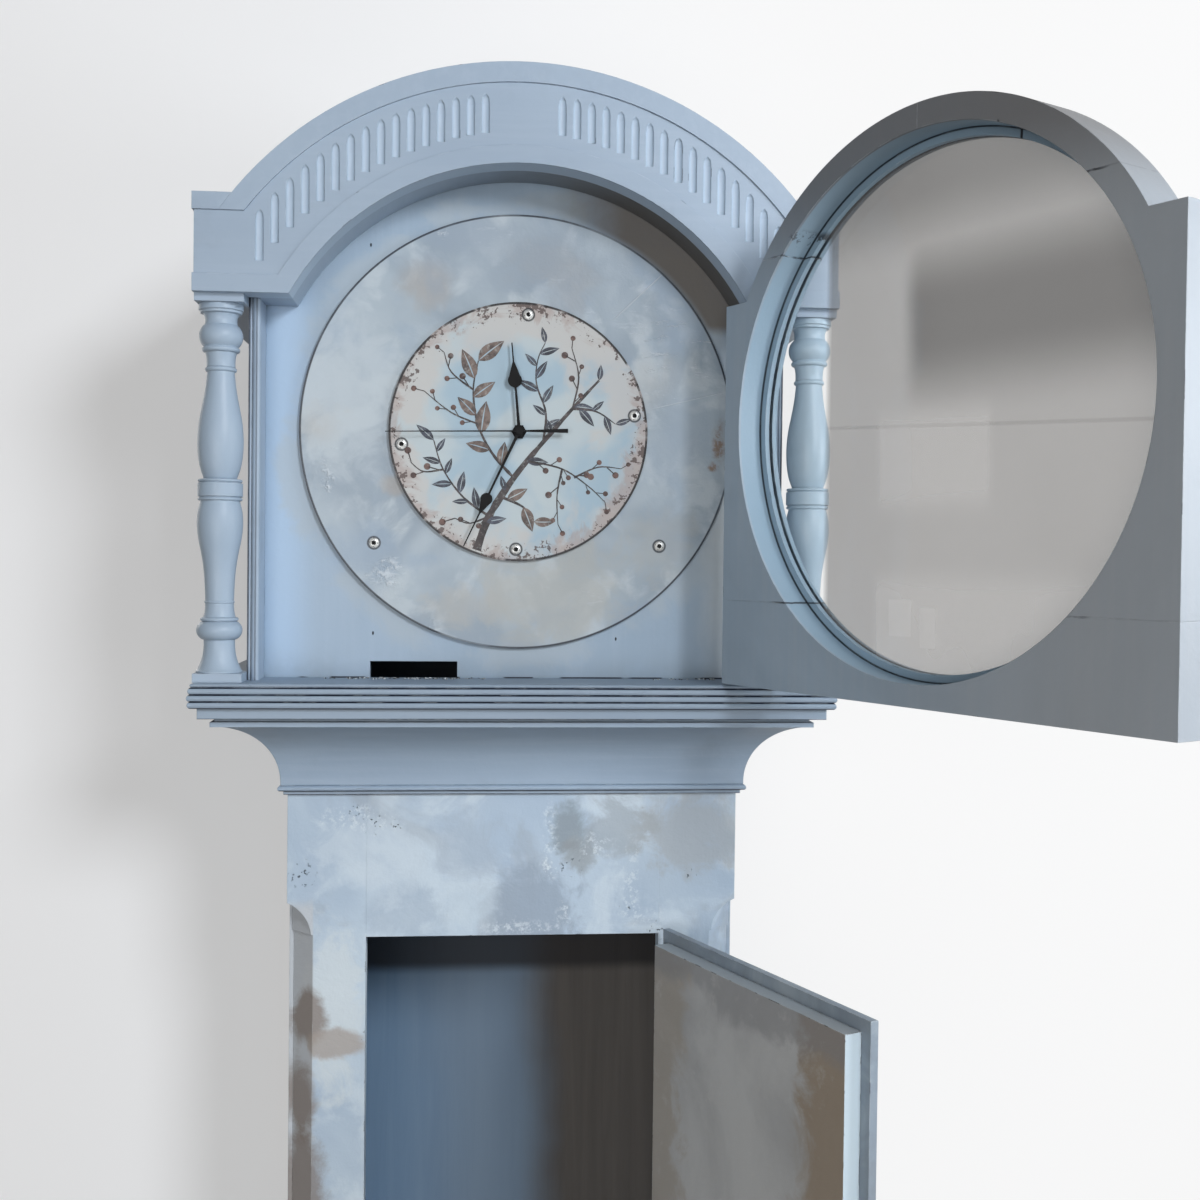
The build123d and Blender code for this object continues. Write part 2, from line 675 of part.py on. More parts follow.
# ---------------------------------------------------------------- hood door
def make_hood_door():
    """The glazed arched door, in five jointed lengths, with its glass, bead, pivots and knob."""
    half = hood_arch_radius - hood_door_gap
    low = ledge_top + hood_door_bottom_gap
    shoulder = springing - hood_door_bottom_gap
    back = frieze_front + hood_door_thickness
    seat = back - hood_door_bore_depth
    glass_front = seat - glass_thickness

    frame = plate(arch_face(half, half, low, shoulder), frieze_front, back)
    frame -= disc(hood_door_sight_radius, frieze_front - 1, back + 1)
    frame -= disc(glass_radius + slide_gap, glass_front, back + 1)
    frame -= disc(hood_door_bore_radius, seat, back + 1)
    frame -= disc(hood_door_sight_radius + sight_rebate, frieze_front - 1,
                  frieze_front + sight_rebate_depth)

    plate_end = pivot_x + 3 * pivot_radius
    plate_y = (pivot_y - pivot_plate_width / 2, pivot_y + pivot_plate_width / 2)
    bottom_leaf = board((plate_end - pivot_plate_length, plate_end), plate_y,
                        (low, low + pivot_plate_thickness))
    top_leaf = board((circle_x(half, shoulder - dial_z) + slide_gap, plate_end), plate_y,
                     (shoulder - pivot_plate_thickness, shoulder))
    frame -= bottom_leaf
    frame -= top_leaf
    pin_reach = hood_door_bottom_gap + pivot_depth - 1.0
    foot_pin = Pos(pivot_x, pivot_y, low) * Cylinder(
        pivot_radius, pin_reach, align=(Align.CENTER, Align.CENTER, Align.MAX))
    head_pin = Pos(pivot_x, pivot_y, shoulder) * Cylinder(
        pivot_radius, pin_reach, align=(Align.CENTER, Align.CENTER, Align.MIN))

    def opened(shape):
        return swing(shape, pivot_x, pivot_y, hood_door_open_angle)

    wide, deep = (-2 * half, 2 * half), (frieze_front - 5, back + 5)
    arch_joint = dial_z + door_arch_joint_above
    rail_joint = dial_z - door_rail_joint_below
    above = board(wide, deep, (arch_joint, dial_z + 2 * half))
    below = board(wide, deep, (dial_z - 2 * half, rail_joint))
    left_side = board((-2 * half, 0), deep, (dial_z - 2 * half, dial_z + 2 * half))
    arch = frame & above
    stiles = frame - above - below
    save("door_arch_free", opened(arch & left_side))
    save("door_arch_hinge", opened(arch - left_side))
    save("door_stile_free", opened(stiles & left_side))
    save("door_stile_hinge", opened(stiles - left_side))
    save("door_bottom_rail", opened(frame & below))
    save("door_pivots", opened(bottom_leaf + foot_pin), opened(top_leaf + head_pin))

    save("door_glass", opened(disc(glass_radius, glass_front, seat)))
    bead = disc(hood_door_bore_radius - running_gap, seat, seat + bead_thickness)
    bead -= disc(hood_door_sight_radius, seat - 1, seat + bead_thickness + 1)
    save("glazing_bead", opened(bead))

    neck, knob_radius, reach = 3.0, 6.5, 17.0
    knob_face = outline((0, 0), (5.5, 0), (5.5, 1.5), (neck, 3.0), (neck, 7.0), (knob_radius, 10.0),
                        (knob_radius, 12.5), (4.2, 16.0), (0, reach))
    stile_middle = (half + hood_door_bore_radius) / 2
    knob = Pos(-stile_middle, frieze_front, dial_z) * Rot(90, 0, 0) * revolve(Plane.XZ * knob_face, Axis.Z)
    save("hood_door_knob", opened(knob))


# ---------------------------------------------------------------- trunk door
def hinge_parts(level):
    """A cranked brass hinge: the case leaf, the door leaf and the pin, for a closed door."""
    height, leaf, gap = hinge_height, hinge_leaf, slide_gap
    third = height / 3
    centre = Pos(trunk_hinge_x, trunk_hinge_y, level)

    def knuckle(low, high):
        return centre * Pos(0, 0, low) * Cylinder(
            hinge_radius, high - low, align=(Align.CENTER, Align.CENTER, Align.MIN))

    bore = centre * Cylinder(hinge_pin_radius + running_gap, height + 2)
    pin = centre * Cylinder(hinge_pin_radius, height + 1.0)
    x, y = trunk_hinge_x, trunk_hinge_y
    crank = board((x + 0.4, x + 0.4 + leaf), (y, trunk_front), (level - height / 2, level + height / 2))
    crank -= board((x - 1, x + 3), (y - hinge_radius - 1, y + hinge_radius + gap),
                   (level - third / 2 - gap, level + third / 2 + gap))
    foot = board((x + 0.4, x + 17.0), (trunk_front - leaf, trunk_front),
                 (level - height / 2, level + height / 2))
    case_leaf = crank + foot + knuckle(-height / 2, -third / 2 - gap) + knuckle(third / 2 + gap, height / 2)
    door_leaf = board((x - 21.0, x - 1.6), (lip_front - leaf, lip_front),
                      (level - height / 2, level + height / 2))
    tongue = board((x - 2.6, x), (lip_front - leaf, lip_front), (level - third / 2, level + third / 2))
    door_leaf -= board((x - hinge_radius - gap, x), (lip_front - leaf - 1, lip_front + 1),
                       (level + third / 2, level + height / 2 + 1))
    door_leaf -= board((x - hinge_radius - gap, x), (lip_front - leaf - 1, lip_front + 1),
                       (level - height / 2 - 1, level - third / 2))
    door_leaf = door_leaf + tongue + knuckle(-third / 2, third / 2)
    return case_leaf - bore, door_leaf - bore, pin


def make_trunk_door():
    """The lipped trunk door with its hinges, lock, key and escutcheon."""
    def opened(shape):
        return swing(shape, trunk_hinge_x, trunk_hinge_y, trunk_door_open_angle)

    panel_back = trunk_front + trunk_door_panel_thickness
    panel_low, panel_high = opening_bottom + trunk_door_gap, opening_top - trunk_door_gap
    key_x = -panel_half + lock_backset
    shaft_radius = 2.5
    keyhole = disc(shaft_radius + running_gap, lip_front - 1, panel_back + 1, key_x, lock_z)
    panel = board((-panel_half, panel_half), (trunk_front, panel_back), (panel_low, panel_high))
    save("trunk_door_panel", opened(panel - keyhole))
    lip = board((-lip_half, lip_half), (lip_front, trunk_front),
                (panel_low - trunk_door_lip, panel_high + trunk_door_lip))
    lip = fillet(lip.edges().filter_by(Axis.Y, reverse=True).group_by(Axis.Y)[0], 2.5)
    save("trunk_door_lipped_front", opened(lip - keyhole))

    levels = (opening_top - hinge_from_opening_end, opening_bottom + hinge_from_opening_end)
    hinges = [hinge_parts(level) for level in levels]
    save("trunk_frame_hinge_leaves", *[hinge[0] for hinge in hinges])
    save("trunk_door_hinge_leaves", *[opened(hinge[1]) for hinge in hinges])
    save("trunk_hinge_pins", *[hinge[2] for hinge in hinges])

    # The bolt slides behind the left stile when it is thrown
    stile_back = trunk_front + trunk_front_thickness
    bolt_y = (stile_back + 1.0, stile_back + 5.0)
    bolt_z = (lock_z + 9.0, lock_z + 19.0)
    case_x = (-panel_half + 2.0, -panel_half + 2.0 + lock_case_length)
    case_back, case_half = panel_back + 14.0, lock_case_height / 2
    lock_case = board(case_x, (panel_back, case_back), (lock_z - case_half, lock_z + case_half))
    channel = board((case_x[0] - 1, case_x[1] - 4.0), (bolt_y[0] - slide_gap, bolt_y[1] + slide_gap),
                    (bolt_z[0] - slide_gap, bolt_z[1] + slide_gap))
    lock_case -= channel
    lock_case -= disc(shaft_radius + running_gap, panel_back - 1, case_back - 2.0, key_x, lock_z)
    bit_radius = 6.5
    lock_case -= disc(bit_radius + 0.6, bolt_y[0] - slide_gap, bolt_y[1] + slide_gap, key_x, lock_z)
    save("trunk_lock_case", opened(lock_case))
    bolt = board((case_x[0] + 0.5, case_x[1] - 4.5 - bolt_throw), bolt_y, bolt_z)
    save("trunk_lock_bolt", opened(bolt))

    bow_y = lip_front - 14.0
    shaft = disc(shaft_radius, bow_y, case_back - 3.0, key_x, lock_z)
    bit = board((key_x - 1.2, key_x + 1.2), bolt_y, (lock_z - bit_radius, lock_z))
    bow_radius, bow_hole, bow_thickness = 9.0, 5.5, 2.4
    ring = Cylinder(bow_radius, bow_thickness) - Cylinder(bow_hole, bow_thickness + 1)
    bow = Pos(key_x, bow_y - bow_radius + 1.0, lock_z) * Rot(0, 90, 0) * ring
    save("trunk_key", opened(shaft + bit + bow))
    plate_disc = disc(10.0, lip_front - 1.5, lip_front, key_x, lock_z)
    plate_disc -= disc(shaft_radius + 0.6, lip_front - 3, lip_front + 1, key_x, lock_z)
    save("trunk_escutcheon", opened(plate_disc))


# ---------------------------------------------------------------- dial, movement and hands
def clock_hand(face, angle, level, pipe_radius, bore_radius, pipe_back):
    """A flat hand on its pipe, turned clockwise from twelve."""
    front = hand_front - level * hand_spacing
    pipe = disc(pipe_radius, front, pipe_back)
    hand = plate(Pos(0, dial_z) * Rot(0, 0, -angle) * face, front, front + hand_thickness) + pipe
    if bore_radius:
        hand -= disc(bore_radius, front - 1, pipe_back + 1)
    return hand


def teardrop_hand(length, bulb_at, bulb_radius, hub_radius):
    """A thin tapered blade with a teardrop part of the way out."""
    root, tip = 1.3, 0.45
    blade = outline((-root, 0), (root, 0), (tip, length), (-tip, length))
    drop = outline((-0.8 * bulb_radius, bulb_at + 0.6 * bulb_radius),
                   ((0, bulb_at - bulb_radius), (0.8 * bulb_radius, bulb_at + 0.6 * bulb_radius)),
                   (0, bulb_at + 3.0 * bulb_radius))
    return Sketch() + blade + drop + Circle(hub_radius)


def make_dial_and_movement():
    """Round dial plate, centre disc, screws, battery movement, hands and setting wheel."""
    hole = disc(bush_radius + running_gap, disc_front - 1, mask_back)
    save("dial_plate", disc(dial_radius, dial_front, mask_front) - hole)
    save("centre_disc", disc(disc_radius, disc_front, dial_front) - hole)

    def screw(circle, angle, seat):
        x, z = circle * sin(radians(angle)), circle * cos(radians(angle))
        return disc(screw_head_radius, seat - screw_head_height, seat, x, dial_z + z)

    screws = [screw(dial_radius - dial_screw_inset, angle, dial_front)
              for angle in (-dial_screw_angle, dial_screw_angle)]
    screws += [screw(disc_radius - disc_screw_inset, angle, disc_front) for angle in disc_screw_angles]
    save("dial_screws", *screws)

    half = movement_size / 2
    case_back = mask_back + movement_depth
    movement = board((-half, half), (mask_back, case_back), (dial_z - half, dial_z + half))
    movement = fillet(movement.edges().filter_by(Axis.Y), 4.0)
    bush_front = mask_back - bush_length
    movement += disc(bush_radius, bush_front, mask_back + 1)
    pipe_back = mask_back + 6.0
    movement -= disc(hour_pipe_radius + running_gap, bush_front - 1, pipe_back + 4.0)
    wheel_z, wheel_pin = dial_z - 16.0, 1.5
    movement -= disc(wheel_pin + running_gap, case_back - 6.0, case_back + 1, 0, wheel_z)
    save("movement", movement)
    nut = plate(Pos(0, dial_z) * RegularPolygon(6.2, 6), disc_front - 2.2, disc_front)
    save("bush_nut", nut - disc(bush_radius + 0.02, disc_front - 4, disc_front + 1))
    wheel = disc(7.0, case_back + slide_gap, case_back + slide_gap + 4.0, 0, wheel_z)
    wheel += disc(wheel_pin, case_back - 5.0, case_back + slide_gap + 1, 0, wheel_z)
    save("setting_wheel", wheel)

    hour_face = teardrop_hand(hour_hand_length, hour_spade_from_axis, 5.8, 4.6)
    hour = clock_hand(hour_face, hour_hand_angle, 0, hour_pipe_radius,
                      minute_pipe_radius + running_gap, pipe_back)
    save("hour_hand", hour)
    minute_face = teardrop_hand(minute_hand_length, minute_spade_from_axis, 5.0, 3.8)
    minute = clock_hand(minute_face, minute_hand_angle, 1, minute_pipe_radius,
                        seconds_pin_radius + running_gap, pipe_back + 1.0)
    save("minute_hand", minute)
    seconds_face = Sketch() + outline((-0.6, 0), (0.6, 0), (0.3, seconds_hand_length),
                                      (-0.3, seconds_hand_length))
    seconds_face += outline((-0.6, 0), (0.6, 0), (1.7, -seconds_tail_length),
                            (-1.7, -seconds_tail_length))
    seconds_face += Circle(2.9)
    seconds = clock_hand(seconds_face, seconds_hand_angle, 2, seconds_pin_radius, 0, pipe_back + 2.0)
    save("seconds_hand", seconds)


make_base()
make_trunk()
make_hood_carcase()
make_columns()
make_hood_door()
make_trunk_door()
make_dial_and_movement()
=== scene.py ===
"""Dresses the painted longcase clock: paint, print, glass, turned columns, screws and light."""

import json
from math import atan2, cos, hypot, pi, radians, sin

import bpy
from mathutils import Matrix, Vector


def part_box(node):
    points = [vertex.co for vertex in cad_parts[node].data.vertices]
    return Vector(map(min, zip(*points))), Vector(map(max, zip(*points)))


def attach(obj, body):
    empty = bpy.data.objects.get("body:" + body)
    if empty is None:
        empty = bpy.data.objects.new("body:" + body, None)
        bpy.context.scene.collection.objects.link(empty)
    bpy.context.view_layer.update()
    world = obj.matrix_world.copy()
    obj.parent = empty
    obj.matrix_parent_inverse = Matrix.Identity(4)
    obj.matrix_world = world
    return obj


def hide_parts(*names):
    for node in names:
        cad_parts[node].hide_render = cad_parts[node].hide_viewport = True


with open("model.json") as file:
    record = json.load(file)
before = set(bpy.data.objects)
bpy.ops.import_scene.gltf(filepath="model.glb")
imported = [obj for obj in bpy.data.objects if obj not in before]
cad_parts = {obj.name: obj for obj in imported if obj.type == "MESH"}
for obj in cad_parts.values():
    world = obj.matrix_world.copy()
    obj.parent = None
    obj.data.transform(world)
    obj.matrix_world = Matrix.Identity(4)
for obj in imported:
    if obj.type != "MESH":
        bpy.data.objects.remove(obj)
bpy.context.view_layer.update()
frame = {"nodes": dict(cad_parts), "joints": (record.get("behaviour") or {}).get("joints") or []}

MM = 0.001
DIAL_SCREW_INSET, DIAL_SCREW_TURNS = 0.0291, (-128.2, 128.2)
DISC_SCREW_INSET, DISC_SCREW_TURNS = 0.010, (4, 81, 181, 263)
SCREW_PITCH = 0.017

# ---------------------------------------------------------------- places taken from the frame, in metres
dial_low, dial_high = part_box("dial_plate")
disc_low, disc_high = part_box("centre_disc")
mask_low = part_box("mask_board")[0]
pane_low, pane_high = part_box("door_glass")
rail_low, rail_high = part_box("trunk_top_rail")
board_low, board_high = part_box("backboard")
dial_radius = (dial_high.x - dial_low.x) / 2
disc_radius = (disc_high.x - disc_low.x) / 2
dial_middle = Vector(((dial_low.x + dial_high.x) / 2, dial_low.y, (dial_low.z + dial_high.z) / 2))
disc_middle = Vector((dial_middle.x, disc_low.y, dial_middle.z))
opening_top = rail_low.z
opening_half = rail_high.x


def round_dial(radius, degrees, y):
    """A place on a circle about the dial's middle, clockwise from the top."""
    angle = radians(degrees)
    return (dial_middle.x + radius * sin(angle), y, dial_middle.z + radius * cos(angle))


def joint_axis(name):
    """Where a hinge's upright axis stands, seen from above."""
    for joint in frame["joints"]:
        if joint["name"] == name:
            return Vector((joint["pos_m"][0], joint["pos_m"][1], 0))


trunk_door_axis = joint_axis("trunk_door_hinge")
hood_door_axis = joint_axis("hood_door_hinge")
bore_radius = 0.1873
trunk_door_turn = radians(114.3)
hood_door_turn = radians(117.7)


# ---------------------------------------------------------------- shared ways of joining nodes
def work_out(operation, swapped=False):
    """The sum that an arithmetic sign stands for."""
    def result(self, other=None):
        values = (self,) if other is None else (other, self) if swapped else (self, other)
        return self.bench.sum(operation, *values)
    return result


class Value:
    """A number that a node gives. A plain sum with it adds the nodes that work it out."""

    def __init__(self, bench, socket):
        self.bench, self.socket = bench, socket

    __add__, __radd__ = work_out("ADD"), work_out("ADD", True)
    __sub__, __rsub__ = work_out("SUBTRACT"), work_out("SUBTRACT", True)
    __mul__, __rmul__ = work_out("MULTIPLY"), work_out("MULTIPLY", True)
    __truediv__, __abs__ = work_out("DIVIDE"), work_out("ABSOLUTE")


class Bench:
    """A node tree with short ways to add nodes, set their sockets and join them."""

    def add(self, kind, **settings):
        node = self.tree.nodes.new(kind)
        for name, value in settings.items():
            setattr(node, name, value)
        return node

    def feed(self, socket, value):
        value = getattr(value, "socket", value)
        if isinstance(value, bpy.types.NodeSocket):
            self.tree.links.new(value, socket)
        else:
            socket.default_value = value

    def step(self, kind, settings=None, out=0, **feeds):
        """Add a node, feed its sockets by name, and give one of its outputs."""
        node = self.add(kind, **(settings or {}))
        for name, value in feeds.items():
            self.feed(node.inputs[name.replace("_", " ")], value)
        return Value(self, node.outputs[out])

    def fill(self, node, *values):
        """Feed a node's sockets in their order, and give its first output."""
        for socket, value in zip([socket for socket in node.inputs if socket.enabled], values):
            self.feed(socket, value)
        return [Value(self, socket) for socket in node.outputs if socket.enabled][0]

    def split(self, vector):
        """The three numbers of a vector."""
        node = self.add("ShaderNodeSeparateXYZ")
        self.feed(node.inputs[0], vector)
        return [Value(self, socket) for socket in node.outputs]

    def sum(self, operation, *values):
        return self.fill(self.add("ShaderNodeMath", operation=operation), *values)

    def larger(self, first, *others):
        for other in others:
            first = self.sum("MAXIMUM", first, other)
        return first

    def arrow(self, operation, *values):
        return self.fill(self.add("ShaderNodeVectorMath", operation=operation), *values)

    def blend(self, share, first, second):
        return self.fill(self.add("ShaderNodeMixShader"), share, first, second)

    def ray(self, *kinds):
        """1 for a ray of any of these kinds, 0 for others."""
        path = self.add("ShaderNodeLightPath")
        return self.larger(*(Value(self, path.outputs["Is %s Ray" % kind]) for kind in kinds))


class Coat(Bench):
    """The paint shop: a material's tree, read from the piece's own place."""

    def __init__(self, name):
        self.material = bpy.data.materials.new(name)
        self.material.use_nodes = True
        self.tree = self.material.node_tree
        self.tree.nodes.clear()
        self.place = self.step("ShaderNodeTexCoord", out="Object")

    x = property(lambda self: self.split(self.place)[0])
    y = property(lambda self: self.split(self.place)[1])
    z = property(lambda self: self.split(self.place)[2])

    def noise(self, scale, detail=4.0, roughness=0.55, stretch=(1, 1, 1), twist=0.0, shift=(0, 0, 0)):
        around = self.step("ShaderNodeMapping", Vector=self.place, Scale=stretch, Location=shift)
        return self.step("ShaderNodeTexNoise", Vector=around, Scale=scale, Detail=detail,
                         Roughness=roughness, Distortion=twist)

    def ramp(self, value, low, high, start=0.0, end=1.0):
        return self.step("ShaderNodeMapRange", {"interpolation_type": "SMOOTHSTEP"}, Value=value,
                         From_Min=low, From_Max=high, To_Min=start, To_Max=end)

    def mix(self, share, first, second):
        return self.fill(self.add("ShaderNodeMix", data_type="RGBA"), share, first, second)

    def base(self, share, first, second):
        """Start with a mixture of two paint colours."""
        self.colour = self.mix(share, rgb(*first), rgb(*second))

    def tint(self, share, *shade):
        """Lay a share of a paint colour over what is there."""
        self.colour = self.mix(share, self.colour, rgb(*shade))

    def veil(self, value, low, high, share, *shade):
        """Lay a paint colour over what is there, as far as a value has risen from low to high."""
        self.tint(self.ramp(value, low, high, 0.0, share), *shade)

    def far_from(self, centre, stretch=(1, 1, 1)):
        away = self.arrow("SUBTRACT", self.place, tuple(centre))
        return self.arrow("LENGTH", self.arrow("MULTIPLY", away, stretch))

    def along(self, origin, direction):
        """Distance from an origin, measured along a direction."""
        away = self.arrow("SUBTRACT", self.place, tuple(origin))
        return self.arrow("DOT_PRODUCT", away, tuple(direction))

    def patch(self, centre, reach, ragged, soft=0.35, wander=1.4, stretch=(1, 1, 1)):
        """1 inside a ragged patch about a place, 0 outside it."""
        far = self.far_from(centre, stretch) + (ragged - 0.5) * (wander * 2 * reach)
        return self.ramp(far, reach * (1 + soft), reach * (1 - soft))

    def clouds(self, y, ragged, soft, wander, places):
        """Ragged patches of a shade of their own, each (x, z, reach, stretch, shade, share)."""
        for x, z, reach, stretch, shade, share in places:
            self.tint(self.patch((x, y, z), reach, ragged, soft, wander, stretch) * share, *shade)

    def seam(self, distance, half_width):
        """1 along a thin line where a distance passes through nought."""
        return self.ramp(abs(distance), half_width, 0.4 * half_width)

    def crevice(self, reach):
        return 1.0 - self.step("ShaderNodeAmbientOcclusion", {"samples": 6}, "AO", Distance=reach)

    def crevice_dirt_and_shade(self, reach, share, *shade):
        """Dirt and painted shade in the corners, darker where the crevices are deeper."""
        self.veil(self.crevice(reach), 0.35, 0.95, share, *shade)

    def rounded(self, radius):
        return self.step("ShaderNodeBevel", {"samples": 4}, Radius=radius)

    def edge(self, radius):
        """1 along outer edges, 0 on flats."""
        plain = self.step("ShaderNodeNewGeometry", out="True Normal")
        return self.ramp(self.arrow("DOT_PRODUCT", self.rounded(radius), plain), 0.995, 0.86)

    def wear(self, rim, rub, rub_share, pale, chip, dark, shift=(3, 1, 7), chip_share=1.0):
        """Rub an edge pale in some places and chip it in others."""
        scale, low, high = rub
        self.tint(rim * self.ramp(self.noise(scale, 3), low, high) * rub_share, *pale)
        scale, detail, roughness, low, high = chip
        chips = self.ramp(self.noise(scale, detail, roughness, shift=shift), low, high)
        self.tint(rim * chips * chip_share, *dark)

    def relief(self, height, depth, normal=None):
        under = {} if normal is None else {"Normal": normal}
        return self.step("ShaderNodeBump", Height=height, Distance=depth, **under)

    def surface(self, roughness, normal=None, **sockets):
        if normal is not None:
            sockets["Normal"] = normal
        return self.done(self.step("ShaderNodeBsdfPrincipled", Base_Color=self.colour, Roughness=roughness,
                                   **sockets))

    def done(self, shader):
        self.feed(self.add("ShaderNodeOutputMaterial").inputs["Surface"], shader)
        return self.material


def rgb(red, green, blue):
    """A paint colour as a colour card gives it, 0 to 255."""
    def plain(value):
        value /= 255
        return value / 12.92 if value <= 0.04045 else ((value + 0.055) / 1.055) ** 2.4
    return (plain(red), plain(green), plain(blue), 1.0)


# ---------------------------------------------------------------- paints
BRUSHED = {"across": (0.25, 4, 4), "up": (4, 4, 0.25), "back": (4, 0.25, 4), "round": (2, 2, 1)}


def hood_paint(name, light, dark, way, worn=0.25, gloss=0.40, shaded_quirks=(), highlit_recess=None, brown_and_shade=None,
               upright=()):
    """Satin blue-grey paint: faint brush marks, dirt and painted shade in the grooves, rubbed edges and a few
    chips.
    """
    coat = Coat(name)
    cloud = coat.noise(4.0, 4, 0.55, twist=0.4)
    streak = coat.noise(34, 5, 0.6, stretch=BRUSHED[way])
    coat.base(coat.ramp(cloud, 0.3, 0.7), dark, light)
    coat.veil(streak, 0.4, 0.75, 0.10, 196, 208, 220)
    haze = coat.noise(13, 6, 0.65, shift=(6, 1, 3))
    coat.veil(haze, 0.55, 0.72, worn, 134, 146, 158)
    # Paler inside the flutes, back from the front face: a painted highlight.
    if highlit_recess is not None:
        coat.veil(coat.y, highlit_recess + 0.0002, highlit_recess + 0.0010, 0.65, 186, 204, 221)
    # Dark brown across the right of the soffit above the dial: painted shade, and brown bare wood.
    if brown_and_shade is not None:
        above = coat.ramp(coat.z, dial_middle.z + 0.09, dial_middle.z + 0.10)
        coat.tint(coat.ramp(coat.x + haze * 0.05, *brown_and_shade) * above * 0.9, 84, 79, 72)
    coat.crevice_dirt_and_shade(0.004, 0.5, 52, 66, 88)
    # Thin dark lines along the given grooves of the mouldings: painted shade.
    if shaded_quirks:
        height = coat.z + (coat.noise(9, 2) - 0.5) * 0.0005
        line = coat.larger(0.0, *(coat.seam(height - level, 0.0010) for level in shaded_quirks))
        thin = coat.ramp(coat.noise(21, 3, 0.5, shift=(8, 1, 1)), 0.25, 0.45, 0.75, 1.0)
        coat.tint(line * thin, 20, 30, 48)
    # Dark lines up the front edges of the hood sides: painted shade in the bead's quirks, and wear.
    for across, half_width, share in upright:
        coat.tint(coat.seam(abs(coat.x) - across, half_width) * share, 24, 34, 54)
    coat.wear(coat.edge(0.0010), (60, 0.48, 0.6), 0.5, (204, 214, 222), (38, 2, 0.4, 0.70, 0.72),
              (44, 42, 44))
    normal = coat.relief(streak * 0.5 + coat.noise(170, 3), 0.00016, coat.rounded(0.0006))
    shine = coat.ramp(cloud, 0.3, 0.7, gloss, gloss + 0.10)
    return coat.surface(shine, normal, Specular_IOR_Level=0.45)


def mask_paint(name):
    """The hood paint on the board behind the dial, with two stopped nail holes and stray nicks."""
    coat = Coat(name)
    cloud = coat.noise(5, 4, 0.55, twist=0.3)
    streak = coat.noise(30, 5, 0.6, stretch=BRUSHED["up"])
    coat.base(coat.ramp(cloud, 0.3, 0.7), (150, 169, 186), (162, 181, 199))
    coat.veil(streak, 0.4, 0.75, 0.10, 190, 203, 216)
    mottle = coat.noise(11, 6, 0.62, twist=0.5, shift=(4, 2, 7))
    coat.veil(coat.x, -0.160, -0.190, 0.75, 170, 195, 220)
    far = coat.far_from(dial_middle, (1, 0, 1))
    near = coat.ramp(far, dial_radius + 0.045, dial_radius + 0.005, -0.2, 0.1)
    coat.veil(mottle + near, 0.50, 0.66, 0.6, 172, 183, 190)
    # Brown under the arch at the upper right: the arch's painted shadow, and bare wood showing.
    bare = coat.ramp(far, dial_radius - 0.004, dial_radius + 0.006)
    bare *= coat.ramp(coat.x + mottle * 0.05, 0.050, 0.110)
    bare *= coat.ramp(coat.z, dial_middle.z + 0.082, dial_middle.z + 0.094)
    coat.tint(bare * 0.85, 108, 98, 86)
    # Two pale patches on the right, below the dial's middle: painted light.
    for drop in (0.06, 0.13):
        spot = coat.patch((0.188, mask_low.y, dial_middle.z - drop), 0.050, mottle, 0.5, 0.8, (1.6, 1, 0.5))
        coat.tint(spot * 0.7, 192, 200, 203)
    low = coat.ramp(coat.z, mask_low.z + 0.035, mask_low.z, 0.0, 0.35)
    coat.tint(low * coat.ramp(coat.noise(20, 5), 0.3, 0.6), 134, 146, 154)
    coat.crevice_dirt_and_shade(0.006, 0.6, 48, 56, 70)
    foot = coat.ramp(coat.z, mask_low.z + 0.0014, mask_low.z + 0.0008)
    dashes = coat.ramp(coat.noise(26, 2, 0.4, shift=(2, 0, 0)), 0.50, 0.54)
    coat.tint(foot * dashes, 26, 32, 44)
    pit = 0.0
    for x, z in ((-0.1228, 1.8513), (-0.1186, 1.5322), (0.083, 1.5285)):
        far = coat.far_from((x, mask_low.y, z), (1, 1, 0.5))
        pit = coat.larger(pit, coat.ramp(far, 0.0009, 0.0005))
    coat.tint(pit, 40, 42, 48)
    normal = coat.relief(coat.noise(150, 3) - pit * 4.0, 0.0002, coat.rounded(0.0006))
    return coat.surface(0.46, normal, Specular_IOR_Level=0.4)


